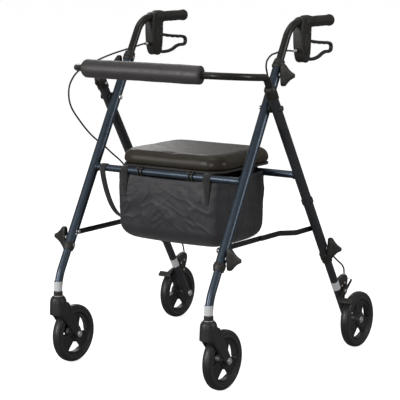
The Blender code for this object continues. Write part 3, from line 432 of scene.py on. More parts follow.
def smooth_route(route, count, closed=False):
    """Evenly spaced points on a smooth curve through a list of points."""
    points = [Vector(p) for p in route]
    n, dense = len(points), []
    for i in range(n if closed else n - 1):
        if closed:
            a, b, c, d = points[i - 1], points[i], points[(i + 1) % n], points[(i + 2) % n]
        else:
            a, b, c, d = points[max(i - 1, 0)], points[i], points[i + 1], points[min(i + 2, n - 1)]
        for k in range(24):
            t = k / 24.0
            dense.append(0.5 * ((2 * b) + (c - a) * t + (2 * a - 5 * b + 4 * c - d) * t * t
                                + (3 * b - a - 3 * c + d) * t ** 3))
    dense.append(points[0] if closed else points[-1])
    return evenly(dense, count, closed)


def smooth_outline(corners, count):
    """Closed smooth outline of (y, z) points through a few corners."""
    return [(p.x, p.y) for p in smooth_route([Vector((y, z, 0.0)) for y, z in corners], count, closed=True)]


def evenly(dense, count, closed=False):
    """Points spread evenly along a polyline."""
    lengths = [0.0]
    for a, b in zip(dense, dense[1:]):
        lengths.append(lengths[-1] + (b - a).length)
    even, k = [], 0
    for i in range(count):
        target = lengths[-1] * i / (count if closed else count - 1)
        while k < len(dense) - 2 and lengths[k + 1] < target:
            k += 1
        share = (target - lengths[k]) / ((lengths[k + 1] - lengths[k]) or 1.0)
        even.append(dense[k].lerp(dense[k + 1], min(share, 1.0)))
    return even


def rounded_ring(half, low, high, corner, z, steps, count):
    """Evenly spread points of a rectangle with round corners, at a height."""
    dense = []
    for side, y, start in ((1, high, 0.0), (-1, high, 90.0), (-1, low, 180.0), (1, low, 270.0)):
        middle = (side * (half - corner), y - corner if y == high else y + corner)
        dense += [Vector((px, py, z)) for px, py in arc(middle, corner, start, start + 90.0, steps)]
    dense.append(dense[0].copy())
    return evenly(dense, count, closed=True)


def placed(mesh, matrix):
    """Moved copy of a mesh."""
    twin = mesh.copy()
    twin.transform(matrix)
    return twin


def along_axis(centre, up):
    """Matrix that stands a shape turned about Z on a centre, along an axis."""
    side = Vector((1.0, 0.0, 0.0))
    front = up.cross(side).normalized()
    turn = Matrix((side, front, up)).transposed().to_4x4()
    return Matrix.Translation(centre) @ turn


def stood(profile, centre, up, sides=48):
    """Profile of (along, radius) points turned about an axis through centre that points up a leg."""
    return placed(turned(profile, axis="Z", sides=sides), along_axis(centre, up))


def merged(meshes):
    """Several meshes as one."""
    whole = bmesh.new()
    for mesh in meshes:
        bmesh.ops.recalc_face_normals(mesh, faces=mesh.faces)
        temp = bpy.data.meshes.new("temp")
        mesh.to_mesh(temp)
        whole.from_mesh(temp)
        bpy.data.meshes.remove(temp)
    return whole


def work_object(mesh, name="work"):
    """Object that carries a mesh while modifiers change it."""
    bmesh.ops.recalc_face_normals(mesh, faces=mesh.faces)
    data = bpy.data.meshes.new(name)
    mesh.to_mesh(data)
    made = bpy.data.objects.new(name, data)
    bpy.context.scene.collection.objects.link(made)
    return made


def baked(worker):
    """The object's mesh with its modifiers, as a bmesh. The object is removed."""
    graph = bpy.context.evaluated_depsgraph_get()
    data = bpy.data.meshes.new_from_object(worker.evaluated_get(graph))
    mesh = bmesh.new()
    mesh.from_mesh(data)
    bpy.data.meshes.remove(data)
    bpy.data.objects.remove(worker, do_unlink=True)
    return mesh


def cut(mesh, *cutters):
    """The mesh without the space that the cutters take up."""
    worker = work_object(mesh)
    tools = []
    for cutter in cutters:
        tool = work_object(cutter, "cutter")
        modifier = worker.modifiers.new("cut", "BOOLEAN")
        modifier.operation = "DIFFERENCE"
        modifier.solver = "EXACT"
        modifier.object = tool
        tools.append(tool)
    result = baked(worker)
    for tool in tools:
        bpy.data.objects.remove(tool, do_unlink=True)
    return result


def moulded(meshes, voxel, smooth=5):
    """Overlapping solids fused and softened like one moulding."""
    worker = work_object(merged(meshes))
    remesh = worker.modifiers.new("fuse", "REMESH")
    remesh.mode = "VOXEL"
    remesh.voxel_size = voxel
    soften = worker.modifiers.new("soften", "SMOOTH")
    soften.factor = 0.5
    soften.iterations = smooth
    return baked(worker)


def piece(name, parts, body, replaces=(), angle=32.0):
    """One object from (mesh, material) pairs, riding on a body of the frame where one is given."""
    data = bpy.data.meshes.new(name)
    whole = bmesh.new()
    for index, (mesh, finish) in enumerate(parts):
        bmesh.ops.recalc_face_normals(mesh, faces=mesh.faces)
        for face in mesh.faces:
            face.material_index = index
            face.smooth = True
        temp = bpy.data.meshes.new("temp")
        mesh.to_mesh(temp)
        mesh.free()
        whole.from_mesh(temp)
        bpy.data.meshes.remove(temp)
        data.materials.append(finish)
    whole.to_mesh(data)
    whole.free()
    made = bpy.data.objects.new(name, data)
    bpy.context.scene.collection.objects.link(made)
    data.set_sharp_from_angle(angle=math.radians(angle))
    if replaces:
        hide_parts(*replaces)
    if body:
        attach(made, body)
    return made


def pair(name, parts, body, nodes=(), angle=32.0):
    """The left piece and its mirror image, from the (mesh, material) pairs of the left one."""
    for side, turn in SIDES:
        twin = [(placed(mesh, turn), finish) for mesh, finish in parts]
        piece(f"{name}_{side}", twin, body.replace("*", side), [n + "_" + side for n in nodes], angle)
    for mesh, _ in parts:
        mesh.free()


# ---------------------------------------------------------------- brake cables
CLIP = Vector((-0.0125, 0.0175, 0.0))
LOWER_ROUTE = [tuple(rear_leg(z, REAR_X) + CLIP) for z in (CLIP_Z, 0.39, 0.35, 0.31)]
LOWER_ROUTE += [(0.2575, 0.19, 0.285), (0.26, 0.22, 0.26), (0.264, 0.242, 0.242),
                (0.267, 0.259, 0.229), (0.2683, 0.267, 0.2185), (0.2685, 0.2695, 0.212),
                (0.2685, 0.2698, 0.2062)]
LEFT_ROUTE = [(FRONT_X, *CABLE_STOP), (FRONT_X, 0.04, 0.82), (0.233, 0.027, 0.8215),
              (0.2245, 0.008, 0.821), (0.221, -0.012, 0.817), (0.2205, -0.034, 0.813),
              (0.2205, -0.052, 0.801), (0.22, -0.056, 0.786), (0.2195, -0.05, 0.768),
              (0.2195, -0.041, 0.74), (0.223, -0.034, 0.705), (0.238, -0.027, 0.66),
              (0.253, -0.009, 0.61), (0.256, 0.022, 0.545), (0.256, 0.055, 0.49)]
RIGHT_ROUTE = [(FRONT_X, *CABLE_STOP), (FRONT_X, 0.04, 0.82), (0.242, 0.027, 0.817),
               (0.251, 0.005, 0.811), (0.259, -0.018, 0.806), (0.267, -0.063, 0.797),
               (0.28, -0.108, 0.783), (0.291, -0.172, 0.76), (0.296, -0.202, 0.731),
               (0.297, -0.21, 0.699), (0.296, -0.201, 0.664), (0.289, -0.174, 0.625),
               (0.281, -0.146, 0.592), (0.27, -0.124, 0.569), (0.257, -0.11, 0.553),
               (0.243, -0.098, 0.535), (0.232, -0.078, 0.515), (0.233, -0.045, 0.49),
               (0.242, -0.002, 0.472), (0.2475, 0.042, 0.46), (0.249, 0.068, 0.448)]


def cable(side, sign, route, first_split, second_split):
    """One brake cable in three lengths: handle to frame, across the fold, and down to the brake."""
    points = smooth_route([(sign * x, y, z) for x, y, z in route + LOWER_ROUTE], 240)

    def nearest(place):
        target = Vector((sign * place[0], place[1], place[2]))
        return min(range(len(points)), key=lambda i: (points[i] - target).length)

    one, two = nearest(first_split), nearest(second_split)
    spans = (("upper", 0, one, "handle_" + side, "front_frame"),
             ("middle", one, two, "front_frame", "rear_frame"),
             ("lower", two, len(points) - 1, "rear_frame", "rear_extension_" + side))
    for label, low, high, start_body, end_body in spans:
        part = points[low:high + 1]
        made = piece(f"brake_cable_{side}_{label}", [(tube(part, CABLE, sides=14), JACKET)], None,
                     ["brake_cable_" + side], 60.0)
        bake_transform(made)


cable("left", 1.0, LEFT_ROUTE, (0.238, -0.027, 0.66), (0.256, 0.09, 0.41))
cable("right", -1.0, RIGHT_ROUTE, (0.296, -0.202, 0.731), (0.256, 0.09, 0.41))


# ---------------------------------------------------------------- legs, rails and pivots
def weld(x, centre):
    """Bead where a rail meets a leg."""
    bead = [(x + 0.0019 * math.cos(a), RAIL + GAP + 0.0019 * math.sin(a))
            for a in (math.tau * i / 12 for i in range(12))]
    return turned(bead, (0.0, centre.y, centre.z), "X", 40)


def straight(low, high, steps=24):
    return [low.lerp(high, i / steps) for i in range(steps + 1)]


def upper_front_leg():
    steps = straight(front_leg(FRONT_END, FRONT_X), front_leg(FRONT_TOP, FRONT_X))
    hole = front_leg(LEG_SLOT_Z, FRONT_X)
    pipe = cut(tube(steps, LEG, LEG_BORE, 44), pin(0.0, 0.03, 0.0024, centre=hole))
    button = front_leg(LEG_STUD_Z, FRONT_X)
    stud = pin(-LEG - 0.0016, -LEG + 0.001, 0.004, 0.001, centre=button)
    return [(pipe, BLUE), (stud, ZINC)]


def upper_rear_leg():
    steps = straight(rear_leg(REAR_END, REAR_X), rear_leg(REAR_TOP, REAR_X))
    return [(tube(steps, LEG, LEG_BORE, 44), CHARCOAL)]


def rail(centre, leg_x):
    reach = leg_x - LEG - GAP
    path = [centre + Vector((reach * t, 0, 0)) for t in (-1.015, -0.5, 0.0, 0.5, 1.015)]
    body = tube(path, RAIL, RAIL - WALL, 40)
    return [(part, BLUE) for part in (body, weld(-reach, centre), weld(reach, centre))]


def pivot():
    inner, outer = FRONT_X - LEG - GAP, REAR_X + LEG + GAP
    low, high = FRONT_X + LEG + GAP, REAR_X - LEG - GAP
    centre = (0.0, PIVOT_Y, PIVOT_Z)
    dome = [(outer + out, radius) for out, radius in
            ((0.0, 0.0002), (0.0, 0.008), (0.0006, 0.0086), (0.0024, 0.0086), (0.0036, 0.0076),
             (0.005, 0.0052), (0.0058, 0.0022), (0.006, 0.0002))]
    cap = [(inner, 0.0002), (inner, 0.0062), (inner - 0.003, 0.006), (inner - 0.0048, 0.0044),
           (inner - 0.0058, 0.0018), (inner - 0.006, 0.0002)]
    grooved = ((0.0, 0.0036), (0.0, 0.0108), (0.0006, 0.0118), (0.0014, 0.0118), (0.002, 0.0108))
    ring = [(low + a, b) for a, b in grooved] + [(high - a, b) for a, b in reversed(grooved)]
    return [(turned(dome, centre), PLASTIC), (turned(cap, centre, sides=40), ZINC),
            (pin(inner + GAP, outer - GAP, 0.0034, centre=centre), ZINC), (turned(ring, centre), PLASTIC)]


def collar(centre, up, half, bore, low):
    """Plastic sleeve over the end of a tube, with its flared lip and clamp nut."""
    profile = [(-half, bore), (-half, low - 0.0012), (-half + 0.0012, low), (-half * 0.55, low + 0.0004),
               (-half * 0.3, COLLAR - 0.0004), (-half * 0.22, COLLAR), (half * 0.3, COLLAR),
               (half * 0.36, COLLAR - 0.0006), (half * 0.42, COLLAR), (half * 0.78, COLLAR),
               (half - 0.0008, COLLAR - 0.0008), (half, COLLAR - 0.0018), (half, LEG + GAP), (0.0, LEG + GAP),
               (0.0, bore)]
    sleeve = stood(profile, centre, up, 52)
    middle = centre + up * (half * 0.3)
    nut = hexagon(-COLLAR - 0.0026, -COLLAR + 0.0012, 0.0036, middle)
    boss = pin(-COLLAR - 0.001, -COLLAR + 0.003, 0.005, 0.0008, middle)
    return [(sleeve, PLASTIC), (boss, PLASTIC), (nut, ZINC)]


pair("front_upper_leg", upper_front_leg(), "front_frame", ["front_leg"])
pair("rear_upper_leg", upper_rear_leg(), "rear_frame", ["rear_leg"])
piece("front_cross_rail", rail(FRONT_RAIL, FRONT_X), "front_frame", ["front_rail"])
piece("rear_cross_rail", rail(REAR_RAIL, REAR_X), "rear_frame", ["rear_rail"])
pair("frame_pivot", pivot(), "front_frame", ["pivot_bolt"])
for name, body, node_name, end, up, half, inner_tube, low in (
        ("handle", "front", "handle", front_leg(FRONT_TOP, FRONT_X), -FRONT_UP, 0.012, HANDLE, 0.0138),
        ("front", "front", "front_leg", front_leg(FRONT_END, FRONT_X), FRONT_UP, 0.0105, LOWER, 0.014),
        ("rear", "rear", "rear_leg", rear_leg(REAR_END, REAR_X), REAR_UP, 0.016, LOWER, 0.014)):
    sleeve = collar(end - up * GAP, up, half, inner_tube + GAP, low)
    pair(name + "_sleeve", sleeve, body + "_frame", [node_name + "_collar"])


# ---------------------------------------------------------------- wing knobs
def knob_body():
    """Upright bar and concave wing, in one moulding, its axis along +X from the leg's axis."""
    sections = [(0.0175, 0.0066, 0.0262), (0.0185, 0.0074, 0.0276), (0.0215, 0.0078, 0.0284),
                (0.0255, 0.0076, 0.0284), (0.0285, 0.0064, 0.0272), (0.032, 0.0048, 0.024),
                (0.037, 0.0037, 0.0182), (0.043, 0.0033, 0.0124), (0.049, 0.0031, 0.0084),
                (0.054, 0.003, 0.006), (0.056, 0.0026, 0.0048), (0.057, 0.0018, 0.0032)]
    turns = [math.tau * (k + 0.5) / 40 for k in range(40)]
    outline = [(squared(math.cos(a), 0.55), squared(math.sin(a), 0.55)) for a in turns]
    rings = [[Vector((out, half_y * c, half_z * s)) for c, s in outline] for out, half_y, half_z in sections]
    return moulded([loft(rings), pin(0.016, 0.024, 0.008)], VOXEL, 3)


KNOB = knob_body()


def knob(centre, tube_radius):
    """Parts of a wing knob whose axis starts on a leg's axis."""
    bolt = pin(tube_radius + GAP, 0.02, 0.003, centre=centre)
    washer = pin(LEG + 0.0004, 0.0168, 0.0062, 0.0004, centre=centre)
    return [(placed(KNOB, Matrix.Translation(centre)), PLASTIC), (bolt, ZINC), (washer, ZINC)]


for name, node_name, centre, tube_radius in (
        ("handle", "handle_knob", front_leg(HANDLE_KNOB_Z, FRONT_X), HANDLE),
        ("front", "front_leg_knob", front_leg(FRONT_KNOB_Z, FRONT_X), LOWER),
        ("rear", "rear_leg_knob", rear_leg(REAR_KNOB_Z, REAR_X), LOWER)):
    pair(name + "_wing", knob(centre, tube_radius), name + "_screw_*", [node_name])


# ---------------------------------------------------------------- backrest
def back_height(y):
    return BACK_Z - BACK_DROP * (y - BACK_Y)


def backrest_path():
    foot = rear_leg(REAR_TOP) + REAR_UP * 0.002
    knee = rear_leg(back_height(-0.135))
    bend_y = BACK_Y + BACK_BEND
    ahead = Vector((0.0, bend_y, back_height(bend_y)))
    half = [p + Vector((REAR_X, 0.0, 0.0)) for p in rounded_path([foot, knee, ahead], 0.016, 10)[:-1]]
    bend = arc((REAR_X - BACK_BEND, bend_y), BACK_BEND, 0.0, -90.0, 24)
    half += [Vector((x, y, back_height(y))) for x, y in bend]
    return [Vector((-p.x, p.y, p.z)) for p in half] + list(reversed(half))


def foam_path():
    """Evenly spaced points of the bar between the ends of the foam sleeve."""
    inside = [p for p in backrest_path() if p.y < -0.2]
    dense = []
    for a, b in zip(inside, inside[1:]):
        dense += [a.lerp(b, k / 30) for k in range(30)]
    dense = [p for p in dense if abs(p.x) <= FOAM_HALF]
    return evenly(dense, 96)


def foam_sleeve():
    path = foam_path()
    lengths = [0.0]
    for a, b in zip(path, path[1:]):
        lengths.append(lengths[-1] + (b - a).length)
    total, bite = lengths[-1], 0.0045
    radii, points = [], []
    rounding = (0.0, 0.0006, 0.0016, 0.0032, 0.0056, 0.0086)
    spread = [bite + (total - 2 * bite) * i / 84 for i in range(85)]
    for along in sorted({*rounding, *spread, *(total - d for d in rounding)}):
        k = min(max(sum(1 for v in lengths if v < along), 1), len(path) - 1)
        share = (along - lengths[k - 1]) / (lengths[k] - lengths[k - 1])
        points.append(path[k - 1].lerp(path[k], min(max(share, 0.0), 1.0)))
        edge = min(along, total - along)
        round_off = 1.0 - min(edge / bite, 1.0)
        radii.append(FOAM - bite * 0.85 * (1.0 - math.sqrt(max(1.0 - round_off ** 2, 0.0))))
    sleeve = tube(points, radii, BACKREST + 0.0006, 56)
    for vert in sleeve.verts:
        vert.co += 0.0007 * noise.noise_vector(vert.co * 22.0) + 0.00025 * noise.noise_vector(vert.co * 90.0)
    return sleeve


def top_socket():
    """Plastic clamp on the top of a rear leg, with the hook in front of it."""
    wall, lip = LEG + GAP, BACKREST + GAP
    profile = [(-0.03, wall), (-0.03, COLLAR - 0.0012), (-0.029, COLLAR - 0.0002), (-0.024, COLLAR),
               (-0.0236, COLLAR - 0.0005), (-0.0228, COLLAR), (0.0005, COLLAR), (0.003, COLLAR - 0.0006),
               (0.0072, 0.0128), (0.009, 0.0112), (0.009, lip), (GAP, lip), (GAP, wall)]
    top = rear_leg(REAR_TOP, REAR_X)
    sleeve = stood(profile, top, REAR_UP, 52)
    front = Vector((0.0, -REAR_UP.z, REAR_UP.y))
    hook_path = [top + front * out + REAR_UP * up for out, up in
                 ((0.012, -0.008), (0.0165, -0.0078), (0.0195, -0.0045), (0.02, 0.001), (0.0195, 0.004))]
    hook = tube(smooth_route(hook_path, 24), [0.0034] * 20 + [0.0032, 0.0028, 0.002, 0.0009], 0.0, 24)
    screw = pin(-COLLAR - 0.0022, -COLLAR + 0.001, 0.0036, 0.001, centre=top - REAR_UP * 0.014)
    return [(sleeve, PLASTIC), (hook, PLASTIC), (screw, ZINC)]


piece("backrest_tube", [(tube(backrest_path(), BACKREST, BACKREST - WALL, 36), BLACK_TUBE)], "rear_frame",
      ["backrest_bar"])
foam = piece("backrest_sleeve", [(foam_sleeve(), FOAM_SKIN)], "rear_frame", ["backrest_foam"],
             60.0)
pair("backrest_clamp", top_socket(), "rear_frame", ["leg_top_socket"])


# ---------------------------------------------------------------- handles and brake levers
def handle_path():
    return rounded_path([front_leg(0.73, FRONT_X), front_leg(GRIP_Z, FRONT_X),
                         Vector((FRONT_X, GRIP_REAR - 0.004, GRIP_Z))], 0.065, 22)


def grip():
    hole = HANDLE + GAP
    start, end = GRIP_FRONT, GRIP_REAR
    profile = [(start, hole), (start, 0.0146), (start + 0.001, 0.0156), (start + 0.005, 0.0158),
               (start + 0.0064, 0.015), (start + 0.008, 0.0139)]
    for i in range(30):
        t = i / 29
        along = start + 0.0095 + (end - 0.012 - start - 0.0095) * t
        radius = GRIP_R - 0.0006 + 0.0009 * math.sin(math.pi * min(t * 1.15, 1.0)) + 0.0012 * t ** 6
        profile.append((along, radius))
    profile += [(end - back, radius) for back, radius in
                ((0.01, 0.0154), (0.006, 0.0155), (0.003, 0.0149), (0.001, 0.0134), (0.0, 0.011),
                 (0.0, 0.0002), (0.0035, 0.0002), (0.0035, hole))]
    body = turned(profile, (FRONT_X, 0.0, GRIP_Z), "Y", 64)
    for vert in body.verts:                      # finger hollows below
        t = (vert.co.y - start) / (end - start)
        outside = math.hypot(vert.co.x - FRONT_X, vert.co.z - GRIP_Z) > 0.012
        if 0.12 < t < 0.9 and vert.co.z < GRIP_Z - 0.006 and outside:
            vert.co.z += 0.0007 * (0.5 + 0.5 * math.cos((t - 0.12) / 0.78 * math.tau * 4.0))
    return [(body, RUBBER)]


HOUSING = [(0.07, 0.9), (0.0655, 0.88), (0.0645, 0.856), (0.066, 0.83), (0.07, 0.808),
           (0.077, 0.793), (0.088, 0.787), (0.099, 0.789), (0.107, 0.8), (0.111, 0.822),
           (0.113, 0.85), (0.114, 0.88), (0.113, 0.901), (0.092, 0.905)]


def housing():
    x = FRONT_X
    outline = smooth_outline(HOUSING, 72)
    levels = [(-0.015, 0.0052), (-0.0146, 0.003), (-0.0136, 0.0014), (-0.0118, 0.0003), (-0.009, 0.0),
              (0.009, 0.0), (0.0118, 0.0003), (0.0136, 0.0014), (0.0146, 0.003), (0.015, 0.0052)]
    shell = loft([[Vector((x + dx, y, z)) for y, z in inset(outline, d)] for dx, d in levels])
    band = turned([(0.09, 0.0002), (0.09, 0.0148), (0.0908, 0.0166), (0.0925, 0.0176), (0.096, 0.018),
                   (0.113, 0.018), (0.116, 0.0175), (0.1176, 0.0164), (0.1182, 0.0148), (0.1182, 0.0002)],
                  (x, 0.0, GRIP_Z), "Y", 48)
    boss = turned([(0.056, 0.0002), (0.056, 0.0048), (0.06, 0.0054), (0.076, 0.0062), (0.076, 0.0002)],
                  (x, 0.0, CABLE_STOP[1]), "Y", 32)
    slot = [(0.084, 0.77), (0.084, 0.85), (0.09, 0.858), (0.13, 0.858), (0.13, 0.77)]
    slot_cutter = slab(slot, x - 0.0066, x + 0.0066)
    bore = tube(handle_path(), HANDLE + GAP, sides=40)
    shell = cut(shell, slot_cutter, bore.copy())
    band = cut(band, bore)
    body = moulded([shell, band, boss], VOXEL, 3)
    parts = [(body, PLASTIC)]
    turns = [(math.cos(math.tau * k / 48), math.sin(math.tau * k / 48)) for k in range(48)]
    for face in (-1.0, 1.0):
        panel = [[Vector((x + face * dx, 0.088 + 0.0098 * shrink * c * (1 + 0.12 * s),
                          0.835 + 0.027 * shrink * s)) for c, s in turns]
                 for dx, shrink in ((0.013, 1.0), (0.0154, 1.0), (0.016, 0.97), (0.0163, 0.9))]
        parts.append((loft(panel), PLASTIC))
        for y, z in ((0.103, 0.806), (0.1075, 0.833), (0.1075, 0.864)):
            low, high = sorted((face * 0.012, face * 0.0152))
            parts.append((pin(low, high, 0.0019, 0.0007, centre=(x, y, z), sides=20), ZINC))
    stop = CABLE_STOP[0] + 0.0008
    ferrule = turned([(stop, 0.0024), (stop, 0.0036), (0.047, 0.0042), (0.049, 0.0042), (0.0496, 0.0036),
                      (0.0504, 0.0042), (0.0512, 0.0036), (0.052, 0.0042), (0.0528, 0.0036),
                      (0.0536, 0.0042), (0.056, 0.0042), (0.059, 0.004), (0.059, 0.0024)],
                     (x, 0.0, CABLE_STOP[1]), "Y", 28)
    parts.append((ferrule, ZINC))
    return parts


LEVER = [(0.0985, 0.844), (0.13, 0.84), (0.165, 0.8355), (0.2, 0.8325), (0.22, 0.831),
         (0.2325, 0.8275), (0.2362, 0.8195), (0.2335, 0.8115), (0.224, 0.8085), (0.206, 0.8085),
         (0.19, 0.805), (0.172, 0.798), (0.15, 0.7938), (0.124, 0.7938), (0.105, 0.7985),
         (0.0955, 0.814)]


def lever():
    x = FRONT_X
    line = smooth_route([Vector((y, z, 0.0)) for y, z in LEVER], 150, closed=True)
    count = len(line)
    rings = []
    for i, point in enumerate(line):
        ahead = (line[(i + 1) % count] - line[i - 1]).normalized()
        out = Vector((ahead.y, -ahead.x, 0.0))
        upper = point.y > 0.827 and 0.125 < point.x < 0.225
        wave = 0.0012 * (0.5 - 0.5 * math.cos((point.x - 0.125) / 0.1 * math.tau * 4.0)) if upper else 0.0
        ring = []
        for k in range(20):
            c, s = math.cos(math.tau * k / 20), math.sin(math.tau * k / 20)
            place = point + out * (0.0046 * squared(c, 0.8))
            if upper and place.y < point.y:
                place = place + Vector((0.0, wave * abs(c), 0.0))
            ring.append(Vector((x + 0.0054 * squared(s, 0.8), place.x, place.y)))
        rings.append(ring)
    loop = loft(rings, closed=True)
    boss = pin(-0.006, 0.006, 0.0085, 0.0012, centre=(x, *LEVER_PIVOT), sides=40)
    axle = pin(-0.0156, 0.0156, 0.0025, 0.0006, centre=(x, *LEVER_PIVOT))
    return [(moulded([loop, boss], VOXEL, 3), PLASTIC), (axle, ZINC)]


pair("handle_bar", [(tube(handle_path(), HANDLE, 0.0088, 40), BLACK_TUBE)], "handle_*", ["handle_tube"])
pair("rubber_grip", grip(), "handle_*", ["hand_grip"])
pair("lever_housing", housing(), "handle_*", ["brake_lever_housing"], 38.0)
pair("loop_lever", lever(), "lever_*", ["brake_lever"], 45.0)


# ---------------------------------------------------------------- lower legs and casters
PAPER = 0.00005                               # space under a label


def wrap(low, high, radius, start, end, thick=0.00025, sides=36):
    """Label bent round a tube: a thin curved sheet between two angles, from low to high along its axis."""
    section = ((radius, low), (radius + thick, low), (radius + thick, high), (radius, high))
    turns = [math.radians(start + (end - start) * i / sides) for i in range(sides + 1)]
    return loft([[Vector((r * math.cos(a), r * math.sin(a), z)) for r, z in section] for a in turns])


def lower_front_leg():
    x = FRONT_X
    top = front_leg(FRONT_END, x) + FRONT_UP * 0.115
    corner = Vector((x, STEM_Y, PIVOT_Z + (STEM_Y - PIVOT_Y) / math.tan(FRONT_LEAN)))
    end = Vector((x, STEM_Y, 0.188))
    path = rounded_path([top, corner, end], 0.13, 20)
    pipe = tube(path, LOWER, LOWER - WALL, 44)
    foot = turned([(0.1892, 0.0002), (0.1892, 0.011), (0.1898, 0.0118), (0.194, 0.012), (0.1958, 0.012),
                   (0.1962, 0.0114), (0.1966, 0.012), (0.199, 0.0118), (0.1996, 0.011), (0.1996, 0.0002)],
                  (x, STEM_Y, 0.0), "Z", 48)
    stem = pin(0.1605, 0.193, 0.0055, 0.001, centre=(x, STEM_Y, 0.0), axis="Z")
    label = placed(wrap(0.201, 0.226, LOWER + PAPER, -250.0, 60.0), Matrix.Translation((x, STEM_Y, 0.0)))
    return [(pipe, BLUE), (foot, PLASTIC), (stem, ZINC), (label, LABEL)]


def fork():
    x, y = FRONT_X, CASTER_AXLE_Y
    outline = hull([(y, WHEEL_RADIUS, 0.013), (STEM_Y + 0.002, 0.14, 0.009),
                    (STEM_Y + 0.005, 0.165, 0.008), (STEM_Y + 0.016, 0.161, 0.0085)])
    arms = slab(outline, x - 0.0205, x + 0.0205, 0.003)
    hood = turned([(0.138, 0.0002), (0.138, 0.0228), (0.145, 0.0228), (0.17, 0.0218), (0.178, 0.0208),
                   (0.1835, 0.0182), (0.1862, 0.0155), (0.187, 0.013), (0.187, 0.0002)],
                  (x, STEM_Y, 0.0), "Z", 64)
    room = turned([(-0.0145, 0.0002), (-0.0145, 0.0815), (0.0145, 0.0815), (0.0145, 0.0002)],
                  (x, y, WHEEL_RADIUS), "X", 72)
    stem = pin(0.15, 0.2, 0.0062, 0.0001, centre=(x, STEM_Y, 0.0), axis="Z")
    eye = pin(-0.03, 0.03, 0.0045, 0.0001, centre=(x, y, WHEEL_RADIUS))
    arms = cut(arms, room.copy(), stem.copy(), eye)
    hood = cut(hood, room, stem)
    bosses = [turned([(low, 0.0048), (low, 0.0112), (low + 0.0008, 0.012), (high - 0.0008, 0.012),
                      (high, 0.0112), (high, 0.0048)], (x, y, WHEEL_RADIUS), "X", 40)
              for low, high in ((-0.0207, -0.015), (0.015, 0.0207))]
    body = moulded([arms, hood] + bosses, 0.0011, 4)
    washer = turned([(0.1871, 0.0062), (0.1871, 0.0138), (0.188, 0.0142), (0.189, 0.0134),
                     (0.189, 0.0062)], (x, STEM_Y, 0.0), "Z")
    return [(body, FORK), (washer, ZINC)]


def axle(centre, x_low, x_high):
    """Rod with a washer and a hexagon head at each end."""
    place = (0.0, *centre)
    rod = pin(x_low - 0.0006, x_high + 0.0006, 0.004, 0.0002, centre=place)
    washers = [turned([(a, 0.004), (a, 0.0088), (b, 0.0088), (b, 0.004)], place)
               for a, b in ((x_low - 0.0012, x_low - 0.0001), (x_high + 0.0001, x_high + 0.0012))]
    heads = [hexagon(a, b, 0.0068, place)
             for a, b in ((x_low - 0.0042, x_low - 0.001), (x_high + 0.001, x_high + 0.0042))]
    return [(part, ZINC) for part in [rod] + washers + heads]


def wheel(x, y):
    """Tyre on a moulded centre with three windows, ribs round them and a raised hub."""
    half, r = WHEEL_WIDTH / 2, WHEEL_RADIUS
    centre = (x, y, WHEEL_RADIUS)
    seat = r - 0.0135
    tyre = [(-half + 0.0006, seat), (-half, seat + 0.001), (-half, r - 0.0075),
            (-half + 0.0006, r - 0.005), (-half + 0.002, r - 0.0028), (-half + 0.0042, r - 0.0012),
            (-half + 0.0072, r - 0.0003), (-0.002, r)]
    tyre += [(-a, b) for a, b in reversed(tyre)]
    parts = [(turned(tyre, centre, "X", 112), TYRE)]
    rim = [(-half + 0.001, seat + 0.0008), (-half + 0.0002, seat - 0.0006), (-half + 0.0002, 0.0575),
           (-half + 0.0012, 0.0562), (-0.0072, 0.0545), (-0.0062, 0.053), (-0.0062, 0.0215),
           (-0.007, 0.0195), (-half + 0.001, 0.018), (-half + 0.0002, 0.0165), (-half, 0.012),
           (-half, 0.0045)]
    rim += [(-a, b) for a, b in reversed(rim)]
    disc = turned(rim, centre, "X", 96)
    cutters, ribs = [], []
    for k in range(3):
        middle = -90.0 + 120.0 * k
        corners = (arc((0.0, 0.0), 0.05, middle - 35.0, middle + 35.0, 10)
                   + arc((0.0, 0.0), 0.0232, middle + 24.0, middle - 24.0, 6))
        outline = [(y + a, WHEEL_RADIUS + b) for a, b in smooth_outline(corners, 96)]
        cutters.append(slab(outline, x - 0.015, x + 0.015))
        rib = ((-0.0002, 0.005), (-0.0002, 0.0076), (-0.0008, 0.0082), (-0.002, 0.0082), (-0.0028, 0.0074),
               (-0.003, 0.005))
        for side in (-1.0, 1.0):
            rings = [[Vector((x + side * dx, a, b)) for a, b in inset(outline, d)] for d, dx in rib]
            ribs.append((loft(rings, closed=True), RIM))
    parts.append((cut(disc, *cutters), RIM))
    return parts + ribs


pair("front_inner_leg", lower_front_leg(), "front_extension_*", ["front_lower_leg"])
pair("fork_moulding", fork(), "caster_*", ["caster_fork"], 45.0)
pair("fork_axle", axle((CASTER_AXLE_Y, WHEEL_RADIUS), FRONT_X - 0.0208, FRONT_X + 0.0208), "caster_*",
     ["caster_axle"])
pair("caster_roller", wheel(FRONT_X, CASTER_AXLE_Y), "caster_wheel_*", ["front_wheel"])
pair("rear_roller", wheel(REAR_WHEEL_X, REAR_AXLE_Y), "rear_roller_*", ["rear_wheel"])
axle_ends = REAR_X - LOWER - GAP, REAR_WHEEL_X + WHEEL_WIDTH / 2 + GAP
pair("wheel_axle", axle((REAR_AXLE_Y, WHEEL_RADIUS), *axle_ends), "rear_extension_*", ["rear_axle"])


# ---------------------------------------------------------------- rear lower legs and brakes
def leg_point(along, across):
    back = Vector((0.0, math.cos(REAR_LEAN), math.sin(REAR_LEAN)))
    place = Vector((0.0, REAR_AXLE_Y, WHEEL_RADIUS)) + REAR_UP * along + back * across
    return place.y, place.z


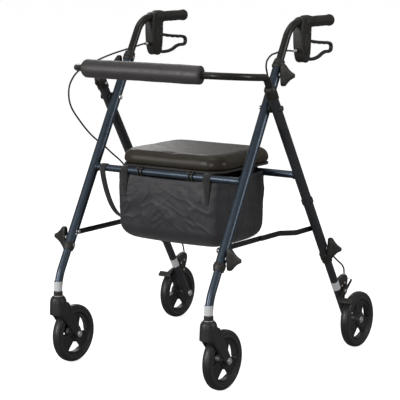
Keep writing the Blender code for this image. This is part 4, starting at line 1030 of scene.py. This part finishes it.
def lower_rear_leg():
    hub = Vector((REAR_X, REAR_AXLE_Y, WHEEL_RADIUS))
    top = rear_leg(REAR_END, REAR_X) + REAR_UP * 0.115
    low = hub - REAR_UP * 0.012
    pipe = tube(straight(low, top, 20), LOWER, LOWER - WALL, 44)
    pipe = cut(pipe, pin(-0.03, 0.03, 0.0043, 0.0001, centre=hub))
    plug = stood([(0.0, 0.0002), (0.0, LOWER - 0.0014), (-0.0006, LOWER), (-0.0018, LOWER - 0.0004),
                  (-0.003, LOWER - 0.003), (-0.0034, 0.0002)], low, REAR_UP)
    label_foot = along_axis(hub + REAR_UP * 0.107, REAR_UP)
    label = placed(wrap(0.0, 0.027, LOWER + PAPER, -200.0, 110.0), label_foot)
    return [(pipe, CHARCOAL), (plug, PLASTIC), (label, LABEL)]


def brake_bracket():
    near, x = LOWER + GAP, REAR_X
    corners = [leg_point(a, b) for a, b in
               ((0.062, near), (0.09, near - 0.0002), (0.12, near), (0.123, 0.018), (0.1215, 0.033),
                (0.117, 0.047), (0.106, 0.0535), (0.093, 0.048), (0.078, 0.029), (0.066, 0.016))]
    body = slab(smooth_outline(corners, 60), x - 0.007, x + 0.007, 0.0016)
    cable_foot = (x, 0.27, 0.0)
    ferrule = turned([(0.19, 0.0024), (0.19, 0.005), (0.193, 0.0052), (0.1945, 0.0046),
                      (0.195, 0.004), (0.1975, 0.004), (0.198, 0.0044), (0.201, 0.0044),
                      (0.2016, 0.0038), (0.205, 0.0036), (0.205, 0.0024)], cable_foot, "Z", 32)
    seat = pin(0.186, 0.1925, 0.0062, 0.001, centre=cable_foot, axis="Z")
    screws = [(pin(-0.0082, 0.0082, 0.003, 0.0008, centre=(x, *leg_point(*at)), sides=24), ZINC)
              for at in ((0.076, 0.017), (0.102, 0.017), (0.1, 0.033))]
    return [(body, PLASTIC), (ferrule, ZINC), (seat, PLASTIC)] + screws


def brake_arm():
    y, z = SHOE_PIVOT
    shoe, tail = (0.2247, 0.138), (0.288, 0.182)
    low, high = REAR_X + 0.0116, REAR_X + 0.0142
    arm = slab(hull([(y, z, 0.0098), (*shoe, 0.0066)]), low, high, 0.0005)
    tail_plate = slab(hull([(y, z, 0.0068), (*tail, 0.0034)]), low + 0.0002, high - 0.0002, 0.0004)
    pivot_pin = pin(REAR_X + 0.0073, high + 0.0022, 0.003, 0.0006, centre=(0.0, y, z))
    head = pin(high - 0.0002, high + 0.0018, 0.0054, 0.0008, centre=(0.0, y, z))
    block_shape = hull([(shoe[0] + d, shoe[1] + d, 0.0042) for d in (-0.003, 0.003)])
    block = slab(block_shape, low, REAR_WHEEL_X + 0.02, 0.001)
    wire_route = [(REAR_X, tail[0] - 0.018, tail[1] + 0.008),
                  (REAR_X + 0.006, tail[0] - 0.006, tail[1] + 0.005), (REAR_X + 0.0129, *tail)]
    wire = tube(smooth_route(wire_route, 20), 0.0009, 0.0, 12)
    stop = pin(low - 0.0008, high + 0.0008, 0.0028, 0.0006, centre=(0.0, *tail))
    return [(arm, PLASTIC), (tail_plate, PLASTIC), (pivot_pin, ZINC), (head, ZINC), (block, PLASTIC),
            (wire, ZINC), (stop, ZINC)]


pair("rear_inner_leg", lower_rear_leg(), "rear_extension_*", ["rear_lower_leg"])
pair("brake_mount", brake_bracket(), "rear_extension_*", ["brake_bracket"])
pair("brake_lever_arm", brake_arm(), "brake_shoe_*", ["brake_arm"])


# ---------------------------------------------------------------- side braces
FRONT_PIN, REAR_PIN = front_leg(BRACE_Z), rear_leg(BRACE_Z)
MIDDLE_Y = (FRONT_PIN.y + REAR_PIN.y) / 2


def front_brace():
    link = slab(hull([(FRONT_PIN.y, BRACE_Z, 0.007), (MIDDLE_Y, BRACE_Z, 0.007)]), 0.2192, 0.2216, 0.0006)
    end = FRONT_X - LEG - GAP
    place = (0.0, FRONT_PIN.y, BRACE_Z)
    spacer = turned([(0.2217, 0.0002), (0.2217, 0.005), (0.2222, 0.0054), (end - 0.0004, 0.0054),
                     (end, 0.005), (end, 0.0002)], place, "X", 32)
    head = pin(0.217, 0.2194, 0.005, 0.001, centre=place)
    rivet = pin(0.217, 0.2193, 0.0048, 0.0012, centre=(0.0, MIDDLE_Y, BRACE_Z))
    return [(link, BLACK_TUBE), (spacer, ZINC), (head, ZINC), (rivet, ZINC)]


def rear_brace():
    inner, outer, thick, half = 0.2221, 0.2528, 0.0024, 0.007
    plan = [(MIDDLE_Y + along, x, wide) for along, x, wide in
            ((-0.007, inner, 0.3), (-0.0062, inner, 0.62), (-0.004, inner, 0.88), (0.0, inner, 1.0),
             (0.04, inner, 1.0), (0.078, inner, 1.0), (0.084, inner + 0.002, 1.0),
             (0.112, outer - 0.002, 1.0), (0.118, outer, 1.0))]
    plan += [(REAR_PIN.y + along, outer, wide) for along, wide in
             ((0.0, 1.0), (0.004, 0.88), (0.0062, 0.62), (0.007, 0.3))]
    soft = 0.0005
    shape = ((0.0, soft - half), (soft, -half), (thick - soft, -half), (thick, soft - half),
             (thick, half - soft), (thick - soft, half), (soft, half), (0.0, half - soft))
    rings = [[Vector((x + a, y, BRACE_Z + b * wide)) for a, b in shape] for y, x, wide in plan]
    rivet = pin(0.2505, 0.253, 0.0048, 0.001, centre=(0.0, REAR_PIN.y, BRACE_Z))
    return [(loft(rings), BLACK_TUBE), (rivet, ZINC)]


pair("brace_front_link", front_brace(), "front_link_*", ["front_brace"])
pair("brace_rear_link", rear_brace(), "rear_link_*", ["rear_brace"])


# ---------------------------------------------------------------- seat
def seat_ring(inset_by, z, corner):
    return rounded_ring(SEAT_HALF - inset_by, SEAT_FRONT + inset_by, SEAT_REAR - inset_by, corner, z, 10, 160)


def inflated(mesh, voxel, pressure, cap):
    """Cushion swollen by cloth pressure, each point moved no further than cap."""
    worker = work_object(mesh, "cushion")
    remesh = worker.modifiers.new("even", "REMESH")
    remesh.mode = "VOXEL"
    remesh.voxel_size = voxel
    even = baked(worker)
    worker = work_object(even, "cushion")
    before = [v.co.copy() for v in worker.data.vertices]
    cloth = worker.modifiers.new("cloth", "CLOTH")
    cloth.settings.use_pressure = True
    cloth.settings.uniform_pressure_force = pressure
    cloth.settings.effector_weights.gravity = 0.0
    cloth.point_cache.frame_start, cloth.point_cache.frame_end = 1, 20
    scene = bpy.context.scene
    for number in range(1, 21):
        scene.frame_set(number)
    graph = bpy.context.evaluated_depsgraph_get()
    after = [v.co.copy() for v in worker.evaluated_get(graph).data.vertices]
    worker.modifiers.remove(cloth)
    scene.frame_set(1)
    for vert, old, new in zip(worker.data.vertices, before, after):
        move = new - old
        if move.length > cap:
            move = move * (cap / move.length)
        vert.co = old + move
    relax = worker.modifiers.new("relax", "SMOOTH")
    relax.factor = 0.5
    relax.iterations = 12
    refine = worker.modifiers.new("refine", "SUBSURF")
    refine.levels = 1
    refine.render_levels = 1
    return baked(worker)


def edge_distance(x, y):
    """How far a point lies inside the seat's rounded outline."""
    dx = abs(x) - (SEAT_HALF - SEAT_CORNER)
    dy = max(SEAT_FRONT + SEAT_CORNER - y, y - SEAT_REAR + SEAT_CORNER)
    if dx > 0 and dy > 0:
        return SEAT_CORNER - math.hypot(dx, dy)
    return SEAT_CORNER - max(dx, dy)


def seat_cushion():
    levels = [(BOARD_HIGH + 0.0006, 0.0075), (BOARD_HIGH + 0.003, 0.004), (BOARD_HIGH + 0.008, 0.0028),
              (0.54, 0.003), (0.548, 0.0048), (0.5535, 0.0085), (0.5568, 0.014), (0.5582, 0.022),
              (0.5588, 0.032)]
    rings = [seat_ring(i, z, max(SEAT_CORNER - i * 0.7, 0.01)) for z, i in levels]
    pad = inflated(loft(rings), voxel=0.0048, pressure=4.0, cap=0.006)
    floor = BOARD_HIGH + GAP
    for vert in pad.verts:
        x, y, z = vert.co
        inside = edge_distance(x, y)
        if z > 0.545:                                  # sewn border round the top panel
            crease = 0.0006 * math.exp(-((inside - 0.03) / 0.003) ** 2)
            crown = 0.001 * min(max((inside - 0.02) / 0.06, 0.0), 1.0)
            z = z - crease + crown
        z += 0.0002 * noise.noise(Vector((x * 9.0, y * 9.0, z * 9.0)))
        vert.co.z = min(max(z, floor), SEAT_TOP + 0.003)
        vert.co.x = min(max(x, -SEAT_HALF - 0.002), SEAT_HALF + 0.002)
        vert.co.y = min(max(y, SEAT_FRONT - 0.002), SEAT_REAR + 0.002)
    return pad


def seat_board():
    levels = ((BOARD_LOW, 0.011), (BOARD_LOW + 0.0008, 0.01), (BOARD_HIGH - 0.001, 0.0096),
              (BOARD_HIGH, 0.0106))
    shapes = [loft([seat_ring(i, z, SEAT_CORNER - i) for z, i in levels])]
    inner, outer = RAIL + GAP, RAIL + 0.0038
    middle = (FRONT_RAIL.y, FRONT_RAIL.z)
    hook = arc(middle, outer, 62.0, 300.0, 40) + arc(middle, inner, 300.0, 62.0, 40)
    for x in (-HINGE_X, HINGE_X):
        shapes += [slab(hook, x + offset, x + offset + 0.0036, 0.0006) for offset in (-0.0068, 0.0034)]
        low, high = FRONT_RAIL.y - 0.013, FRONT_RAIL.y + 0.015
        base = [(low, BOARD_LOW - 0.001), (high, BOARD_LOW - 0.001), (high, BOARD_LOW + 0.0005),
                (low, BOARD_LOW + 0.0005)]
        shapes.append(slab(base, x - 0.011, x + 0.011))
    rest_low, rest_high = REAR_RAIL_Z + RAIL + GAP, BOARD_LOW + 0.0004
    rest = [(REAR_RAIL.y + out, z) for out, z in
            ((-0.012, rest_low), (0.012, rest_low), (0.015, rest_high), (-0.015, rest_high))]
    for x in (-REST_X, REST_X):
        shapes.append(slab(rest, x - 0.012, x + 0.012, 0.0008))
    return [(shape, PLASTIC) for shape in shapes]


piece("seat_base", seat_board(), "seat", ["seat_board"])
cushion = piece("seat_cushion", [(seat_cushion(), VINYL)], "seat", ["seat_pad"], 80.0)


# ---------------------------------------------------------------- bag
BAG_Y0, BAG_Y1 = FRONT_RAIL.y - 0.006, REAR_RAIL.y + 0.016
BAG_MID = (BAG_Y0 + BAG_Y1) / 2
BAG_DEPTH = (BAG_Y1 - BAG_Y0) / 2
BAG_TOP = 0.4985
BAG_FLOOR = BAG_BOTTOM + 0.0015
BAG_CLOTH = 0.0016
WALL_CREASE, END_CREASE = 0.004, 0.005


def mouth_height(y):
    """How far the bag's mouth stands above its front edge."""
    return 0.0085 * min(max((y - BAG_Y0) / (BAG_Y1 - BAG_Y0), 0.0), 1.0)


def bag_ring(inset_by, z):
    corner = max(0.03 - inset_by * 0.3, 0.008)
    return rounded_ring(BAG_HALF - inset_by, BAG_Y0 + inset_by, BAG_Y1 - inset_by, corner, z, 12, 400)


def fold_field(a, b, scale, stretch, seed):
    """Soft folds that run along a and repeat across b, with sharp creases between them."""
    n = noise.noise(Vector((a * scale / stretch, b * scale, seed)))
    m = noise.noise(Vector((a * scale * 1.7 / stretch + 9.0, b * scale * 1.7, seed + 3.4)))
    sharp = (1.0 - min(abs(m) * 2.2, 1.0)) ** 3
    return n * 1.1 + sharp * 0.55 - 0.12


def bag_shape(point, level):
    """A wall point moved by the sag, the bulge and the creases of hanging cloth."""
    x, y, z = point
    front, rear = y < BAG_MID - BAG_DEPTH + 0.012, y > BAG_MID + BAG_DEPTH - 0.012
    middle = math.sin(math.pi * min(max(level, 0.0), 1.0))
    across = 1.0 - (x / BAG_HALF) ** 2
    deep = 1.0 - ((y - BAG_MID) / BAG_DEPTH) ** 2
    out = Vector((0.0, 0.0, 0.0))
    share = min(max((x + 0.06) / 0.12, 0.0), 1.0)
    left = fold_field(x * 0.86 - z * 0.5, z * 0.86 + x * 0.5, 26.0, 3.0, 3.7)
    right = fold_field(x * 0.8 + z * 0.6, z * 0.8 - x * 0.6, 26.0, 3.0, 8.2)
    wall = (right * (1.0 - share) + left * share) * WALL_CREASE * middle
    ends = fold_field(z, y, 38.0, 4.0, 5.1) * END_CREASE * (0.35 + 0.65 * middle)
    weight = min(max((abs(x) - BAG_HALF + 0.03) / 0.026, 0.0), 1.0)
    if front or rear:
        out.y += (-1.0 if front else 1.0) * (wall + 0.005 * middle * across) * (1.0 - weight * 0.7)
    out.x += math.copysign(1.0, x) * weight * (ends - 0.004 * middle * max(deep, 0.0))
    out.z -= 0.01 * (1.0 - level) ** 2 * (0.45 + 0.55 * across) * (0.4 + 0.6 * max(deep, 0.0))
    out.z += mouth_height(y) * max(level, 0.0) ** 2
    if level > 0.9 and front:
        hang = math.cos(min(abs(x) / 0.13, 1.2) * math.pi / 2)
        out.z -= 0.003 * max(hang, 0.0) * (level - 0.9) / 0.1
    return point + out


def bag_shell():
    top, bottom = BAG_TOP, BAG_FLOOR
    rows = [(inset_by, bottom + up) for inset_by, up in
            ((0.115, 0.0), (0.09, 0.0), (0.07, 0.0), (0.054, 0.0003), (0.04, 0.0016),
             (0.03, 0.0042), (0.0215, 0.0082), (0.0145, 0.0138), (0.0092, 0.0208), (0.0056, 0.029),
             (0.0036, 0.038))]
    wall_low = rows[-1][1]
    steps = 56
    for i in range(1, steps + 1):
        t = i / steps
        inset_by = 0.0036 * (1.0 - t) ** 1.5 + 0.003 * max(t - 0.7, 0.0) / 0.3
        rows.append((inset_by, wall_low + (top - wall_low) * t))
    outer, inner = [], []
    for inset_by, z in rows:
        inset_by = min(inset_by, BAG_DEPTH - 0.006)
        level = (z - bottom) / (top - bottom)
        outer.append([bag_shape(p, level) for p in bag_ring(inset_by, z)])
        rise = Vector((0, 0, max(z, bottom + BAG_CLOTH) - z))
        inner.append([bag_shape(p, level) + rise for p in bag_ring(inset_by + BAG_CLOTH, z)])
    return loft(outer + list(reversed(inner)))


def hem():
    """Folded edge round the mouth of the bag."""
    rings = []
    for down, out in ((0.016, 0.0), (0.016, 0.0006), (0.013, 0.0009), (0.002, 0.0009), (-0.0004, 0.0002),
                      (-0.0008, -0.0008), (-0.0004, -0.002), (0.002, -0.0026), (0.013, -0.0026),
                      (0.016, -0.0022), (0.016, -0.0014)):
        z = BAG_TOP - down
        level = (z - BAG_FLOOR) / (BAG_TOP - BAG_FLOOR)
        share = max((z - 0.44) / 0.058, 0.0)
        rings.append([bag_shape(p, min(level, 1.0)) for p in bag_ring(0.003 * min(share, 1.0) - out, z)])
    return loft(rings, closed=True)


def ribbon(path, width, thick, tail=0.0, tail_points=1):
    """Webbing along a path, its width along X, narrowed towards a tail at its start."""
    rings = []
    for number, (centre, first, second) in enumerate(ring_frames(path)):
        narrow = tail * max(1.0 - number / tail_points, 0.0)
        across = Vector(((width - narrow) / 2, 0.0, 0.0))
        out = (first if abs(first.x) < abs(second.x) else second) * (thick / 2)
        soft = Vector((thick * 0.35, 0.0, 0.0))
        rings.append([centre - across + soft - out, centre + across - soft - out, centre + across - out * 0.3,
                      centre + across + out * 0.3, centre + across - soft + out, centre - across + soft + out,
                      centre - across + out * 0.3, centre - across - out * 0.3])
    return loft(rings)


def stitches(corners, depth, length=0.0026, space=0.0016):
    """Short threads along straight lines on a face of constant Y."""
    threads = []
    for (x0, z0), (x1, z1) in zip(corners, corners[1:]):
        a, b = Vector((x0, depth, z0)), Vector((x1, depth, z1))
        run = (b - a).length
        count = max(int(run / (length + space)), 1)
        for k in range(count):
            low = a.lerp(b, (k + 0.15) / count)
            high = a.lerp(b, (k + 0.75) / count)
            bow = low.lerp(high, 0.5) + Vector((0.0, -0.0004, 0.0))
            threads.append(tube([low, bow, high], 0.00035, 0.0, 6))
    return merged(threads)


bag = piece("bag_shell", [(bag_shell(), NYLON), (hem(), NYLON)], "front_frame", ["storage_bag"],
            70.0)


def bag_loop(x, rail_at, wall_y, facing):
    """Webbing that goes round a rail and down the bag's wall."""
    radius = RAIL + 0.001
    turn = [Vector((x, rail_at.y + facing * y, rail_at.z + z))
            for y, z in arc((0, 0), radius, -20.0, 200.0, 22)]
    heights = (0.44, 0.452, 0.464, 0.476, 0.488) if facing < 0 else (0.474, 0.48, 0.488)
    low = [Vector((x, wall_y, z)) for z in heights]
    low.append(Vector((x, (wall_y + turn[0].y) / 2, 0.496)))
    back = [Vector((x, rail_at.y - facing * (radius - 0.001), rail_at.z - 0.006)),
            Vector((x, wall_y - facing * 0.0035, 0.492)), Vector((x, wall_y - facing * 0.0045, 0.48)),
            Vector((x, wall_y - facing * 0.0045, 0.47))]
    return ribbon(smooth_route(low + turn + back, 64), 0.022, 0.0013, 0.012, 26)


for x, label in ((LOOP_X, "left"), (-LOOP_X, "right")):
    front = bag_loop(x, FRONT_RAIL, BAG_Y0 - 0.0022, -1.0)
    seam = stitches([(x - 0.0065, 0.478), (x + 0.0065, 0.478), (x + 0.005, 0.462), (x - 0.005, 0.462),
                     (x - 0.0065, 0.478), (x + 0.005, 0.462)], BAG_Y0 - 0.0031)
    piece("bag_front_loop_" + label, [(front, WEBBING), (seam, THREAD)], "front_frame", (),
          50.0)
    rear = bag_loop(x, REAR_RAIL, BAG_Y1 + 0.0022, 1.0)
    piece("bag_rear_loop_" + label, [(rear, WEBBING)], "rear_frame", (), 50.0)


PULL_STRAP = [(-0.2, -0.193, 0.506), (-0.198, -0.19, 0.48), (-0.196, -0.18, 0.445),
              (-0.197, -0.162, 0.412), (-0.199, -0.14, 0.387), (-0.202, -0.115, 0.37),
              (-0.204, -0.09, 0.36), (-0.205, -0.0741, 0.357)]
strap_path = smooth_route(PULL_STRAP, 64)
rail_turn = arc((FRONT_RAIL.y, FRONT_RAIL.z), RAIL + 0.0012, 20.0, 180.0, 16)
loop_turn = [Vector((PULL_STRAP[0][0], y, z)) for y, z in rail_turn]
strap = piece("lift_strap", [(ribbon(loop_turn + strap_path, 0.018, 0.0016), WEBBING)], None, ["pull_strap"],
              50.0)
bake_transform(strap)


def cable_clip():
    """Double clip that holds the brake cable behind a rear leg."""
    hub = rear_leg(CLIP_Z, REAR_X)
    wire = hub + CLIP
    flat = Vector((CLIP.x, CLIP.y, 0.0)).normalized()

    def ring(centre, radius, gap_dir, half):
        section = ((-0.0008, -half), (0.001, -half), (0.0014, -half + 0.0005), (0.0014, half - 0.0005),
                   (0.001, half), (-0.0008, half))
        base = math.degrees(math.atan2(gap_dir.y, gap_dir.x))
        rings = []
        for c, s in arc((0.0, 0.0), 1.0, base + 38.0, base + 322.0, 28):
            rings.append([centre + Vector((c * (radius + a), s * (radius + a), b)) for a, b in section])
        return loft(rings)

    tilt = Matrix.Translation(hub) @ Matrix.Rotation(REAR_LEAN, 4, "X") @ Matrix.Translation(-hub)
    parts = [ring(hub, LEG + 0.0011, -flat, 0.006), ring(wire, CABLE + 0.0012, flat, 0.005)]
    return [(placed(p, tilt), PLASTIC) for p in parts]


pair("cable_clip", cable_clip(), "rear_frame", ())
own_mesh(bag)


# ---------------------------------------------------------------- floor and light
def seen_or_lit(node, seen, lit):
    """One shader for what the camera sees and another for the light that it gives to the scene."""
    ray = node("LightPath", {}).outputs["Is Camera Ray"]
    return node("MixShader", {"Fac": ray, 1: lit, 2: seen}).outputs[0]


def paper(name, strength):
    """White studio paper that looks bright and throws back only a part of its light."""
    made = bpy.data.materials.new(name)
    made.use_nodes = True
    tree = made.node_tree
    tree.nodes.remove(tree.nodes["Principled BSDF"])
    node = node_maker(tree)
    white = node("BsdfDiffuse", {"Color": (0.94, 0.94, 0.94, 1.0)}).outputs[0]
    glow = node("Emission", {"Strength": strength}).outputs[0]
    dull = node("BsdfDiffuse", {"Color": (0.28, 0.28, 0.28, 1.0)}).outputs[0]
    bright = node("AddShader", {0: white, 1: glow}).outputs[0]
    tree.links.new(seen_or_lit(node, bright, dull), tree.nodes["Material Output"].inputs["Surface"])
    return made


FLOOR_REACH = 70.0
PAPER_GLOW = 0.75
SKY_SEEN, SKY_LIT = 1.05, 0.26
floor_mesh = bmesh.new()
bmesh.ops.create_grid(floor_mesh, x_segments=1, y_segments=1, size=FLOOR_REACH)
floor = work_object(floor_mesh, "studio_floor")
floor.data.materials.append(paper("studio_paper", PAPER_GLOW))
floor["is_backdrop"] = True

world = bpy.data.worlds.new("studio")
bpy.context.scene.world = world
world.use_nodes = True
tree = world.node_tree
node = node_maker(tree)
sky_seen, sky_light = (node("Background", {"Color": (1.0, 1.0, 1.0, 1.0), "Strength": strength}).outputs[0]
                       for strength in (SKY_SEEN, SKY_LIT))
tree.links.new(seen_or_lit(node, sky_seen, sky_light), tree.nodes["World Output"].inputs["Surface"])


def area_light(name, place, aim_height, size, power):
    """Soft box aimed at a height on the object's middle line."""
    data = bpy.data.lights.new(name, "AREA")
    data.shape = "RECTANGLE"
    data.size, data.size_y = size
    data.energy = power
    lamp = bpy.data.objects.new(name, data)
    bpy.context.scene.collection.objects.link(lamp)
    lamp.location = place
    aimed = Vector((0.0, 0.0, aim_height)) - lamp.location
    lamp.rotation_euler = aimed.to_track_quat("-Z", "Y").to_euler()


area_light("key", (-1.6, -3.6, 1.5), 0.55, (0.5, 1.9), 62.0)
area_light("front", (1.3, -3.4, 1.2), 0.5, (0.4, 1.8), 22.0)
area_light("side", (3.2, 0.6, 1.6), 0.5, (0.6, 2.0), 22.0)
area_light("top", (-0.4, -0.4, 3.2), 0.4, (2.0, 2.0), 12.0)
area_light("rim", (-2.4, 2.2, 1.9), 0.5, (1.2, 1.6), 14.0)

bpy.context.scene.view_settings.view_transform = "Standard"

low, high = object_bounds()
